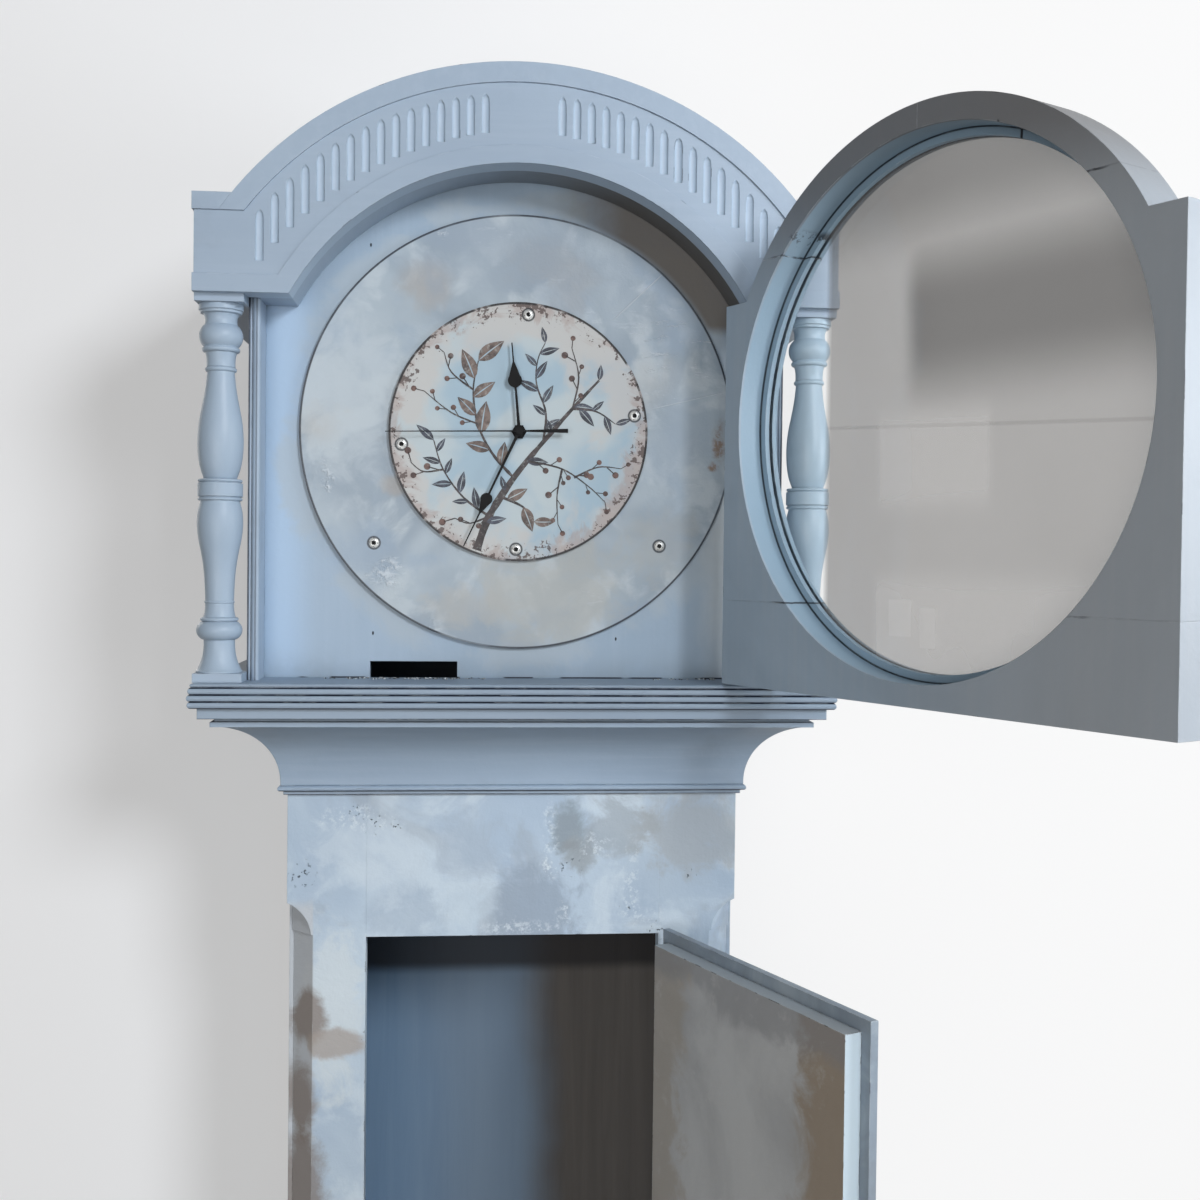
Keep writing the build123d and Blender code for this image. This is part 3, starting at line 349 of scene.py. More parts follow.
def trunk_paint(name, painted_shade=0.0):
    """Chalky paint in clouds of pale blue and white, rubbed through to tan and brown."""
    coat = Coat(name)
    broad = coat.noise(6.5, 3, 0.5, twist=0.5)
    cloud = coat.noise(15, 6, 0.6, twist=0.6, shift=(2, 5, 1))
    ragged = coat.noise(26, 7, 0.68, twist=0.5, shift=(7, 3, 5))
    fine = coat.noise(140, 4, 0.7)
    coat.base(coat.ramp(broad, 0.36, 0.64), (170, 188, 206), (190, 206, 219))
    coat.veil(cloud, 0.47, 0.62, 0.7, 206, 219, 228)
    grey = coat.noise(9, 5, 0.6, twist=0.9, shift=(9, 2, 4))
    coat.veil(grey, 0.54, 0.68, 0.55, 160, 170, 180)
    stray = coat.noise(5.5, 7, 0.66, twist=1.2, shift=(1, 8, 2.4))
    low = coat.ramp(coat.z, 1.20, 1.05)
    coat.tint(coat.ramp(stray, 0.60, 0.68, 0.0, 0.6) * low, 140, 132, 126)

    # Clouds that belong to one place on the top rail and the stiles
    y = rail_low.y
    coat.clouds(y, ragged, 0.35, 1.6, (
        (0.046, 1.366, 0.016, (1, 1, 0.7), (136, 147, 154), 0.8),
        (0.052, 1.345, 0.014, (1, 1, 1), (146, 152, 155), 0.7),
        (0.086, 1.366, 0.022, (0.7, 1, 1), (160, 170, 178), 0.7),
        (0.150, 1.365, 0.030, (0.7, 1, 0.9), (170, 175, 178), 0.6),
        (0.018, 1.300, 0.028, (0.75, 1, 0.9), (152, 166, 181), 0.85),
        (-0.040, 1.345, 0.028, (1, 1, 1), (168, 182, 196), 0.6),
        (-0.090, 1.300, 0.026, (0.8, 1, 1), (166, 182, 198), 0.6),
        (-0.152, 1.215, 0.040, (1.6, 1, 0.6), (206, 216, 221), 0.8),
        (-0.120, 1.340, 0.030, (0.7, 1, 1), (200, 213, 223), 0.6),
        (-0.040, 1.310, 0.022, (1, 1, 1), (198, 212, 222), 0.6),
    ))
    crumbly = coat.ramp(coat.noise(230, 6, 0.75, shift=(2, 2, 8)), 0.50, 0.60)
    for x, z, reach, stretch in ((0.100, 1.322, 0.013, (2.2, 1, 0.45)), (0.030, 1.360, 0.012, (2.0, 1, 0.45)),
                                 (0.070, 1.352, 0.010, (0.8, 1, 1)), (0.110, 1.292, 0.014, (0.8, 1, 1.6)),
                                 (0.045, 1.297, 0.008, (1.4, 1, 0.7)), (-0.130, 1.378, 0.014, (0.5, 1, 1.6)),
                                 (0.032, 1.335, 0.009, (1, 1, 1)), (0.000, 1.284, 0.010, (0.4, 1, 2.0))):
        coat.tint(coat.patch((x, y, z), reach, ragged, 0.7, 2.2, stretch) * crumbly * 0.6, 216, 226, 232)

    # The left chamfer has lost most of its blue, and a stain runs off it on to the stile
    chamfer = coat.ramp(coat.x, -0.1655, -0.1675) * coat.ramp(coat.z, 1.312, 1.300)
    chamfer *= coat.ramp(coat.z, 0.668, 0.680)
    chamfer *= coat.ramp(coat.y, y + 0.040, y + 0.022)
    coat.tint(chamfer * 0.8, 194, 198, 202)
    coat.clouds(y, ragged, 0.25, 0.7, (
        (-0.176, 1.208, 0.020, (1, 1, 0.8), (142, 133, 127), 0.9),
        (-0.150, 1.188, 0.014, (0.5, 1, 1.1), (166, 157, 150), 0.8),
        (-0.182, 1.140, 0.026, (1.4, 1, 0.7), (140, 131, 125), 0.85),
        (-0.180, 1.060, 0.030, (1.2, 1, 0.5), (136, 126, 119), 0.8),
    ))

    # Clusters of dark pinholes, and bruises by the hinge corner
    pin = coat.ramp(coat.noise(330, 2, 0.5), 0.64, 0.68)
    cluster = 0.0
    for x, z, reach in ((-0.135, 1.383, 0.006), (-0.117, 1.372, 0.008), (-0.098, 1.372, 0.004),
                        (-0.175, 1.330, 0.010), (0.150, 1.328, 0.005), (0.094, 1.300, 0.004),
                        (0.121, 1.281, 0.007), (-0.118, 1.190, 0.010), (0.047, 1.335, 0.008)):
        cluster = coat.larger(cluster, coat.patch((x, y, z), reach, ragged, 0.5, 0.5))
    pin *= cluster
    coat.tint(pin * 0.8, 62, 70, 80)
    # A darker grey over the clouds, by the given share: painted shade, used on the door's lip.
    coat.tint(coat.ramp(cloud, 0.3, 0.6, painted_shade, 0.75 * painted_shade), 104, 106, 106)
    coat.crevice_dirt_and_shade(0.005, 0.8, 50, 60, 76)
    above = coat.ramp(coat.z, opening_top + 0.001, opening_top + 0.003)
    rim = coat.edge(0.0012) * (1.0 - coat.seam(abs(coat.x) - opening_half, 0.012) * above)
    coat.wear(rim, (48, 0.45, 0.58), 0.6, (216, 224, 228), (34, 3, 0.5, 0.66, 0.69), (66, 60, 58))
    normal = coat.relief(ragged * 1.2 + fine * 0.6 - pin * 1.5, 0.0006, coat.rounded(0.0008))
    return coat.surface(coat.ramp(cloud, 0.4, 0.7, 0.55, 0.70), normal, Specular_IOR_Level=0.3)


def trunk_door_back(name):
    """The inside of the trunk door: grey over tan, brown at both sides, its edges pale blue and chipped."""
    coat = Coat(name)
    across = Vector((-cos(trunk_door_turn), -sin(trunk_door_turn), 0))
    reach = coat.along(trunk_door_axis, across)
    ragged = coat.noise(16, 7, 0.66, twist=0.7)
    cloud = coat.noise(7, 5, 0.6, twist=0.6, shift=(1, 4, 2))
    wander = (ragged - 0.5) * 0.12
    out = reach + wander
    coat.base(coat.ramp(cloud, 0.35, 0.65), (178, 180, 181), (198, 200, 200))
    coat.veil(out, 0.062, 0.038, 0.7, 172, 164, 152)
    coat.veil(out, 0.195, 0.225, 0.85, 158, 142, 122)
    top = coat.z + wander * 0.6
    coat.veil(top, opening_top - 0.034, opening_top - 0.016, 0.6, 146, 147, 150)
    coat.veil(coat.noise(40, 6, 0.7), 0.56, 0.7, 0.35, 205, 206, 204)
    normal_way = coat.step("ShaderNodeNewGeometry", out="True Normal")
    side_face = coat.ramp(coat.arrow("DOT_PRODUCT", normal_way, tuple(across)), 0.5, 0.8)
    coat.tint(side_face, 200, 216, 225)
    top_face = coat.ramp(coat.arrow("DOT_PRODUCT", normal_way, (0, 0, 1)), 0.5, 0.8)
    coat.tint(top_face * 0.8, 176, 186, 192)
    coat.wear(coat.edge(0.0014), (40, 0.42, 0.55), 0.7, (214, 220, 222), (75, 3, 0.6, 0.56, 0.60),
              (58, 54, 52), (5, 2, 2), 0.9)
    coat.crevice_dirt_and_shade(0.006, 0.7, 70, 66, 62)
    normal = coat.relief(ragged + coat.noise(150, 3), 0.0004, coat.rounded(0.0008))
    return coat.surface(0.6, normal, Specular_IOR_Level=0.3)


def hood_door_paint(name):
    """Blue-grey door paint, greyer and duller on the inside with painted shade at the top, cracked along the
    frame's joints.
    """
    coat = Coat(name)
    across = Vector((-cos(hood_door_turn), -sin(hood_door_turn), 0))
    out = coat.along(hood_door_axis, across)
    middle = out - hood_door_axis.x
    cloud = coat.noise(4.5, 5, 0.6, twist=0.5)
    streak = coat.noise(30, 5, 0.6, stretch=BRUSHED["up"])
    ragged = coat.noise(90, 4, 0.7)
    coat.base(coat.ramp(cloud, 0.3, 0.7), (150, 168, 184), (165, 183, 199))
    coat.veil(streak, 0.4, 0.75, 0.2, 182, 190, 197)
    coat.veil(out, 0.10, 0.34, 0.55, 168, 167, 166)
    # Darker and greyer towards the top of the door: painted shade.
    coat.veil(coat.z, dial_middle.z + 0.09, dial_middle.z + 0.18, 0.75, 106, 103, 102)
    inward = Vector((-sin(hood_door_turn), cos(hood_door_turn), 0))
    deep = coat.along(hood_door_axis, inward)
    up = coat.z - dial_middle.z
    ring = coat.sum("SQRT", middle * middle + up * up)
    wall = coat.ramp(ring, bore_radius + 0.0009, bore_radius + 0.0004) * coat.ramp(deep, 0.030, 0.029)
    coat.tint(wall * 0.65, 146, 176, 196)
    bead_joint = coat.ramp(deep, 0.0112, 0.0102)
    bead_joint *= coat.ramp(ring, bore_radius - 0.0012, bore_radius - 0.0006)
    bead_joint *= coat.ramp(ring, bore_radius + 0.0010, bore_radius + 0.0006)
    coat.tint(bead_joint * 0.85, 14, 18, 26)
    coat.crevice_dirt_and_shade(0.005, 0.9, 34, 44, 56)
    jitter = (ragged - 0.5) * 0.0016
    height = coat.z + jitter
    joints = (dial_middle.z + 0.127, dial_middle.z - 0.136)
    crack = coat.larger(*(coat.seam(height - level, 0.0009) for level in joints))
    above = coat.ramp(coat.z, dial_middle.z + 0.12, dial_middle.z + 0.13)
    notch = coat.seam(middle + jitter - 0.070, 0.0014)
    notch = notch * above * coat.ramp(ring, bore_radius + 0.002, bore_radius)
    broken = coat.ramp(coat.noise(46, 3, 0.5, shift=(4, 4, 1)), 0.36, 0.5)
    broken *= coat.ramp(ring, bore_radius + 0.014, bore_radius + 0.004, 0.1, 1.0)
    crack = coat.larger(crack * (broken * 0.85), notch)
    coat.tint(crack, 30, 32, 38)
    for way_out, up_by, reach in ((-0.117, 0.135, 0.010), (-0.108, -0.137, 0.008), (-0.150, 0.075, 0.004)):
        apart, over = (middle - way_out) * 0.6, up - up_by
        near = coat.sum("SQRT", apart * apart + over * over)
        flaked = coat.ramp(near, reach, 0.5 * reach) * coat.ramp(ragged, 0.54, 0.58)
        coat.tint(flaked * 0.85, 52, 52, 56)
    coat.wear(coat.edge(0.0010), (50, 0.46, 0.6), 0.55, (206, 214, 220), (36, 2, 0.4, 0.66, 0.68),
              (44, 42, 44))
    bumps = coat.noise(170, 3) - crack * 1.5
    normal = coat.relief(bumps, 0.0002, coat.rounded(0.0007))
    return coat.surface(coat.ramp(cloud, 0.3, 0.7, 0.42, 0.52), normal, Specular_IOR_Level=0.4)


def dial_paint(name):
    """The plate: soft clouds of grey, blue and beige, with dry white scuffs and scratches."""
    coat = Coat(name)
    broad = coat.noise(11, 3, 0.5, twist=0.4)
    cloud = coat.noise(22, 5, 0.55, twist=0.5, shift=(5, 0, 2))
    ragged = coat.noise(30, 6, 0.62, twist=0.5, shift=(3, 7, 5))
    fine = coat.noise(150, 4, 0.7)
    coat.base(coat.ramp(broad, 0.38, 0.62), (146, 160, 172), (168, 181, 190))
    coat.veil(cloud, 0.48, 0.62, 0.7, 190, 200, 205)
    blue = coat.noise(14, 4, 0.55, shift=(1, 3, 8))
    coat.veil(blue, 0.52, 0.66, 0.6, 144, 163, 182)
    y = dial_middle.y
    coat.clouds(y, ragged, 0.6, 1.7, (
        (-0.077, 1.821, 0.017, (0.8, 1, 1), (168, 163, 157), 0.65),
        (-0.163, 1.702, 0.014, (0.8, 1, 1), (178, 172, 162), 0.6),
        (0.020, 1.841, 0.018, (0.6, 1, 1.3), (166, 166, 163), 0.5),
        (0.045, 1.822, 0.018, (1, 1, 1), (172, 168, 161), 0.4),
        (0.028, 1.570, 0.036, (0.6, 1, 1), (174, 174, 167), 0.6),
        (-0.040, 1.556, 0.020, (0.8, 1, 1.2), (172, 172, 168), 0.45),
        (-0.101, 1.655, 0.008, (0.9, 1, 1), (160, 152, 143), 0.6),
        (0.120, 1.608, 0.026, (1, 1, 0.8), (170, 170, 164), 0.4),
        (0.109, 1.742, 0.022, (1, 1, 1), (178, 178, 174), 0.35),
        (-0.060, 1.868, 0.028, (0.7, 1, 1.2), (152, 166, 180), 0.6),
        (0.135, 1.700, 0.028, (1.2, 1, 0.7), (148, 164, 180), 0.6),
        # Painted shade: darker across the top, under the arch.
        (0.000, 1.845, 0.040, (0.45, 1, 1.2), (146, 160, 174), 0.5),
        # Painted light: paler at the left.
        (-0.150, 1.725, 0.045, (1.3, 1, 0.7), (190, 200, 206), 0.6),
    ))
    grit = coat.ramp(coat.noise(170, 5, 0.75, shift=(4, 0, 3)), 0.42, 0.58, 0.25, 1.0)
    stain = coat.patch((0.1675, y, 1.6965), 0.0060, ragged, 0.6, 1.6, (1.3, 1, 0.45))
    stain = coat.larger(stain, coat.patch((0.163, y, 1.674), 0.0035, ragged, 0.6, 1.6))
    coat.tint(stain * grit, 138, 120, 106)

    # Dry brush scuffs, thickest at the upper right, and two long scratches
    hair = coat.noise(70, 4, 0.75, stretch=(0.5, 1, 2.2), shift=(0.4, 0, 1.7))
    rubbed = coat.patch((0.130, y, 1.765), 0.045, ragged, 0.6, 0.6)
    rubbed = coat.larger(rubbed, coat.ramp(cloud, 0.5, 0.62) * 0.35)
    scuff = coat.ramp(hair, 0.58, 0.68) * rubbed
    for x, z, reach, stretch in ((-0.1566, 1.6593, 0.006, (1.6, 1, 0.6)), (-0.110, 1.582, 0.010, (1, 1, 1)),
                                 (-0.064, 1.862, 0.003, (1, 1, 1)), (-0.072, 1.541, 0.005, (1, 1, 0.7))):
        dab = coat.patch((x, y, z), reach, hair, 0.8, 3.0, stretch) * coat.ramp(fine, 0.42, 0.6)
        scuff = coat.larger(scuff, dab)
    for x, z, way, length in ((0.098, 1.814, (0.72, 0.69), 0.034), (0.142, 1.729, (0.97, 0.24), 0.036)):
        run = Vector((way[0], 0, way[1]))
        side = Vector((way[1], 0, -way[0]))
        line = coat.seam(coat.along((x, y, z), side), 0.0006)
        ends = coat.ramp(abs(coat.along((x, y, z), run)), length, 0.6 * length)
        scuff = coat.larger(scuff, line * ends * 0.7)
    coat.tint(scuff * 0.6, 214, 221, 226)

    # A dark ring round each screw seat: the head's painted shadow, and dirt.
    for turn in DIAL_SCREW_TURNS:
        place = round_dial(dial_radius - DIAL_SCREW_INSET, turn, y)
        coat.veil(coat.far_from(place), 0.0061, 0.0053, 0.9, 38, 44, 52)
    # A dark line just inside the plate's edge, broken in places: the painted shadow of the gap to the mask
    # board.
    far = coat.far_from(dial_middle)
    rim = coat.ramp(far, dial_radius - 0.0019, dial_radius - 0.0012)
    worn = coat.ramp(coat.noise(17, 4, 0.6, shift=(2, 0, 5)), 0.3, 0.5, 0.55, 0.95)
    coat.tint(rim * worn, 34, 42, 54)
    normal = coat.relief(ragged * 1.4 + fine * 0.5 + scuff * 0.8, 0.0005, coat.rounded(0.0006))
    return coat.surface(coat.ramp(cloud, 0.4, 0.7, 0.34, 0.50), normal, Specular_IOR_Level=0.5)


def print_ground(name):
    """The disc's paper: an aqua middle, cream clouds, and a foxed, rust-flecked rim."""
    coat = Coat(name)
    far = coat.far_from(disc_middle)
    broad = coat.noise(15, 3, 0.5, twist=0.4)
    coat.base(coat.ramp(broad, 0.42, 0.6), (160, 183, 197), (184, 196, 200))
    cream = coat.noise(18, 5, 0.55, twist=0.6, shift=(3, 0, 6))
    outward = coat.ramp(far, 0.45 * disc_radius, 0.95 * disc_radius, -0.08, 0.16)
    coat.tint(coat.ramp(cream + outward, 0.52, 0.68, 0.0, 0.75), 194, 191, 187)
    stain = coat.noise(28, 6, 0.66, twist=0.7, shift=(8, 0, 1))
    edge = coat.ramp(far, 0.72 * disc_radius, disc_radius, -0.26, 0.08)
    coat.tint(coat.ramp(stain + edge, 0.46, 0.58, 0.0, 0.6), 166, 148, 142)
    fleck = coat.noise(240, 3, 0.62, shift=(1, 0, 9))
    rim = coat.ramp(far, 0.74 * disc_radius, disc_radius, -0.24, 0.05)
    for x, z, reach in ((0.010, 0.097, 0.022), (-0.090, 0.045, 0.016), (0.098, -0.020, 0.016),
                        (0.012, -0.092, 0.022), (-0.062, -0.080, 0.012), (-0.030, 0.092, 0.012)):
        place = (disc_middle.x + x, disc_middle.y, disc_middle.z + z)
        rim = rim + coat.ramp(coat.far_from(place, (0.7, 1, 1)), reach, 0.2 * reach, 0.0, 0.09)
    flecks = fleck + rim + stain * 0.22
    coat.veil(flecks, 0.70, 0.745, 0.85, 78, 62, 58)
    broken = coat.ramp(coat.noise(34, 4, 0.6, shift=(5, 0, 5)), 0.34, 0.48)
    outline = coat.ramp(far, disc_radius - 0.0021, disc_radius - 0.0015)
    coat.tint(outline * (broken * 0.95), 24, 24, 28)
    # A dark ring round each screw seat: the head's painted shadow, and dirt.
    for turn in DISC_SCREW_TURNS:
        place = round_dial(disc_radius - DISC_SCREW_INSET, turn, disc_middle.y)
        coat.veil(coat.far_from(place), 0.0060, 0.0052, 0.9, 44, 46, 50)
    normal = coat.relief(coat.noise(120, 3), 0.00012)
    return coat.surface(0.42, normal, Specular_IOR_Level=0.4)


def ink(name, colour, deep, worn=0.35):
    """A printed colour that thins out in places."""
    coat = Coat(name)
    coat.base(coat.ramp(coat.noise(95, 4, 0.6), 0.38, 0.62), deep, colour)
    coat.veil(coat.noise(260, 4, 0.7), 0.52, 0.72, worn, 196, 200, 196)
    return coat.surface(0.45)


# ---------------------------------------------------------------- wood, metal, plastic and glass
def bare_board(name, light, dark, stretch):
    """Softwood with grain and age."""
    coat = Coat(name)
    grain = coat.noise(9, 8, 0.62, stretch=stretch, twist=0.5)
    coat.base(coat.ramp(grain, 0.35, 0.68), dark, light)
    coat.veil(coat.noise(4, 6, 0.6), 0.45, 0.7, 0.45, 72, 60, 50)
    # Darker in the crevices: dirt and painted shade.
    coat.veil(coat.crevice(0.008), 0.3, 0.9, 0.7, 36, 30, 26)
    return coat.surface(0.7, coat.relief(grain, 0.0006, coat.rounded(0.0008)), Specular_IOR_Level=0.25)


def backboard_wood(name):
    """Three upright boards: a thin blue wash inside that gives out to brown with painted shadow, bare old
    pine outside.
    """
    coat = Coat(name)
    grain = coat.noise(9, 8, 0.62, stretch=(7, 7, 0.35), twist=0.4)
    bare = coat.mix(coat.ramp(grain, 0.33, 0.66), rgb(96, 76, 58), rgb(146, 120, 92))
    thin = coat.ramp(grain, 0.2, 0.8)
    brown = coat.mix(thin, rgb(92, 88, 84), rgb(106, 101, 96))
    wander = (coat.noise(5, 4) - 0.5) * 0.05
    across = coat.x + wander
    coat.base(thin, (112, 140, 168), (126, 152, 177))
    # Greyer and then brown towards the right: brown wood, and the painted shadow of the opening's right side.
    coat.veil(across, -0.13, -0.03, 0.6, 116, 128, 140)
    coat.colour = coat.mix(coat.ramp(across, 0.005, 0.060), coat.colour, brown)
    # A dark band across the top: the painted shadow of the top rail.
    coat.veil(coat.z + wander * 0.1, opening_top - 0.092, opening_top - 0.078, 0.85, 38, 36, 38)
    face = coat.ramp(coat.y, board_low.y + 0.002, board_low.y + 0.004)
    coat.colour = coat.mix(face, coat.colour, bare)
    gap = coat.larger(*(coat.seam(coat.x - x, 0.0009) for x in (-0.071, 0.068))) * face
    coat.tint(gap * 0.8, 30, 26, 24)
    return coat.surface(0.65, coat.relief(grain - gap * 3.0, 0.0005), Specular_IOR_Level=0.25)


def metal(name, colour, tarnish, roughness):
    coat = Coat(name)
    spot = coat.noise(90, 5, 0.6)
    coat.base(coat.ramp(spot, 0.45, 0.7, 0.0, 0.7), colour, tarnish)
    coat.veil(coat.crevice(0.0015), 0.3, 0.9, 0.8, 40, 34, 28)
    rough = coat.ramp(spot, 0.4, 0.7, roughness, roughness + 0.2)
    normal = coat.relief(coat.noise(320, 2), 0.00004, coat.rounded(0.00025))
    return coat.surface(rough, normal, Metallic=1.0)


def screw_steel(name):
    """Pale plated steel, with painted shade inside the drive."""
    coat = Coat(name)
    spot = coat.noise(300, 4, 0.6)
    coat.base(coat.ramp(spot, 0.4, 0.7), (232, 233, 230), (190, 190, 186))
    # Darker inside the drive: painted shade.
    coat.veil(coat.crevice(0.0020), 0.40, 0.70, 0.9, 16, 16, 18)
    normal = coat.relief(spot, 0.00004, coat.rounded(0.00025))
    return coat.surface(coat.ramp(spot, 0.4, 0.7, 0.40, 0.55), normal, Metallic=0.5)


def black_lacquer(name):
    coat = Coat(name)
    coat.base(coat.ramp(coat.noise(220, 4), 0.6, 0.8, 0.0, 0.06), (7, 7, 8), (70, 70, 72))
    rough = coat.ramp(coat.noise(90, 3), 0.3, 0.7, 0.5, 0.6)
    return coat.surface(rough, coat.rounded(0.0002), Specular_IOR_Level=0.2)


def black_plastic(name):
    coat = Coat(name)
    grain = coat.noise(900, 2)
    coat.base(coat.ramp(grain, 0.4, 0.6, 0.0, 0.3), (22, 22, 24), (44, 44, 46))
    return coat.surface(0.55, coat.relief(grain, 0.00003))


def old_glass(name):
    """Clear by the hinge, then dull with a smoky film, thin and thick in wide soft panels: dust and painted
    reflections.
    """
    coat = Coat(name)
    way = Vector((pane_high.x - pane_low.x, pane_low.y - pane_high.y, 0)).normalized()
    start = Vector((pane_low.x, pane_high.y, dial_middle.z))
    width = hypot(pane_high.x - pane_low.x, pane_high.y - pane_low.y)
    out = coat.along(start, way) / width
    up = coat.z - dial_middle.z
    waver = (coat.noise(9, 4) - 0.5) * 0.03
    loose = out + waver

    def panel(low_out, high_out, low_up, high_up, soft=0.012):
        shape = coat.ramp(loose, low_out - soft, low_out + soft)
        shape *= coat.ramp(loose, high_out + soft, high_out - soft)
        shape *= coat.ramp(up, low_up - soft, low_up + soft)
        return shape * coat.ramp(up, high_up + soft, high_up - soft)

    # The film's dark and pale panels, darker towards the top, are painted reflections laid on the dust.
    cloud = coat.ramp(coat.noise(5, 3, 0.5, stretch=(1, 1, 0.6), twist=0.3, shift=(2, 1, 0)), 0.3, 0.7)
    dark = coat.larger(panel(0.42, 1.1, 0.02, 0.105, 0.03) * 0.9, coat.ramp(up, 0.10, 0.16, 0.0, 0.7))
    pale = coat.larger(panel(0.34, 0.62, -0.065, 0.0), panel(0.34, 1.1, -0.2, -0.115))
    for corners in ((0.38, 0.44, -0.158, -0.130, 0.003), (0.46, 0.50, -0.165, -0.135, 0.003)):
        pale = coat.larger(pale, panel(*corners) * 1.6)
    line = coat.seam(up + out * 0.02, 0.0018)
    thick = cloud * 0.04 + dark * 0.20 + (0.40 + line * 0.06)
    film = coat.ramp(out, 0.186, 0.199, 0.02, 1.0) * thick
    coat.base(cloud * 0.5, (158, 153, 149), (170, 165, 161))
    coat.tint(dark * 0.9, 92, 88, 86)
    coat.tint(pale * 0.7, 203, 199, 196)
    dust_and_reflection = coat.step("ShaderNodeBsdfDiffuse", Color=coat.colour)
    clear = coat.step("ShaderNodeBsdfTransparent", Color=(0.98, 0.98, 0.975, 1))
    gloss = coat.step("ShaderNodeBsdfGlossy", Roughness=0.05)
    through = coat.blend(film * coat.ramp(coat.ray("Shadow"), 0.0, 1.0, 1.0, 0.10), clear, dust_and_reflection)
    outside = 1.0 - coat.step("ShaderNodeNewGeometry", out="Backfacing")
    return coat.done(coat.blend(coat.step("ShaderNodeFresnel", IOR=1.45) * outside, through, gloss))


# ---------------------------------------------------------------- a coat for each piece of the case
blue_light, blue_dark = (163, 180, 197), (155, 172, 190)
frieze_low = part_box("arch_frieze")[0]
ledge_low, ledge_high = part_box("hood_base_front")
# Heights of the grooves in the reeded ledge and the throat, where lines of painted shade run.
reed_shade_lines = [ledge_low.z + rise for rise in (0.0028, 0.0116, 0.01705, 0.0225, 0.02795)]
bead_shade_lines = [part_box("throat_moulding_front")[0].z + rise for rise in (-0.0002, 0.0032)]
side_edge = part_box("hood_side_right")[1].x
edge_shade_lines = ((side_edge - 0.0006, 0.0011, 0.9), (side_edge - 0.0068, 0.0009, 0.6))
pine_light, pine_dark = (150, 124, 96), (104, 82, 62)
turned_coats = {
    "left": hood_paint("hood paint, turned work", (166, 184, 201), (156, 174, 192), "round", 0.15, 0.36),
    # The right column, seen through the door's glass, takes a paler copy of the paint: painted light.
    "right": hood_paint("hood paint, turned work, painted light", (178, 199, 213), (168, 189, 204), "round", 0.15,
                        0.36)}
dull_brass = metal("dull brass", (176, 148, 92), (104, 84, 52), 0.35)
iron = metal("lock iron", (120, 116, 112), (82, 62, 50), 0.5)
screw_metal = screw_steel("pale screw steel")
lacquer = black_lacquer("black hands")

coats = {
    hood_paint("frieze paint", blue_light, blue_dark, "across", highlit_recess=frieze_low.y + 0.0015): "arch_frieze",
    hood_paint("hood paint, brushed across", blue_light, blue_dark, "across"): "column_blocks",
    # The reeded ledge and the throat, under the overhang, take a darker copy of the hood paint: painted
    # shade.
    hood_paint("hood paint, reeded ledge", (148, 165, 182), (138, 155, 173), "across", shaded_quirks=reed_shade_lines):
        "hood_base_front hood_base_returns",
    hood_paint("hood paint, throat", (152, 170, 188), (142, 160, 179), "across", shaded_quirks=bead_shade_lines):
        "throat_moulding_front throat_moulding_returns",
    hood_paint("hood paint, brushed up", blue_light, blue_dark, "up", upright=edge_shade_lines):
        "hood_side_left hood_side_right",
    hood_paint("hood paint, brushed back", blue_light, blue_dark, "back"): "entablature_returns hood_roof",
    # The soffit is painted dark brown on its right: painted shade, and brown bare wood.
    hood_paint("soffit paint", blue_light, blue_dark, "back", brown_and_shade=(-0.08, 0.12)): "arch_soffit",
    mask_paint("mask board paint"): "mask_board",
    hood_door_paint("hood door paint"):
        "door_arch_free door_arch_hinge door_stile_free door_stile_hinge door_bottom_rail glazing_bead",
    trunk_paint("aged trunk paint"):
        "trunk_stile_left trunk_stile_right trunk_top_rail trunk_bottom_rail trunk_side_left "
        "trunk_side_right base_front base_side_left base_side_right plinth_front plinth_returns "
        "waist_moulding_front waist_moulding_returns",
    # The door's lip takes the trunk paint darkened with painted shade.
    trunk_paint("trunk door lip paint", 0.58): "trunk_door_lipped_front",
    trunk_door_back("trunk door inside"): "trunk_door_panel",
    dial_paint("dial plate paint"): "dial_plate",
    print_ground("printed ground"): "centre_disc",
    bare_board("bare pine, grain across", pine_light, pine_dark, (0.35, 7, 7)):
        "hood_kickers seatboard base_floor",
    bare_board("bare pine, grain up", pine_light, pine_dark, (7, 7, 0.35)): "glue_blocks",
    backboard_wood("backboard"): "backboard",
    dull_brass:
        "trunk_frame_hinge_leaves trunk_hinge_pins trunk_door_hinge_leaves trunk_escutcheon "
        "trunk_lock_bolt trunk_key hood_door_knob door_pivots",
    iron: "trunk_lock_case",
    lacquer: "hour_hand minute_hand seconds_hand bush_nut",
    black_plastic("movement case"): "movement setting_wheel",
    old_glass("old door glass"): "door_glass",
}
for material, names in coats.items():
    for name in names.split():
        slots = frame["nodes"][name].data.materials
        slots.clear()
        slots.append(material)


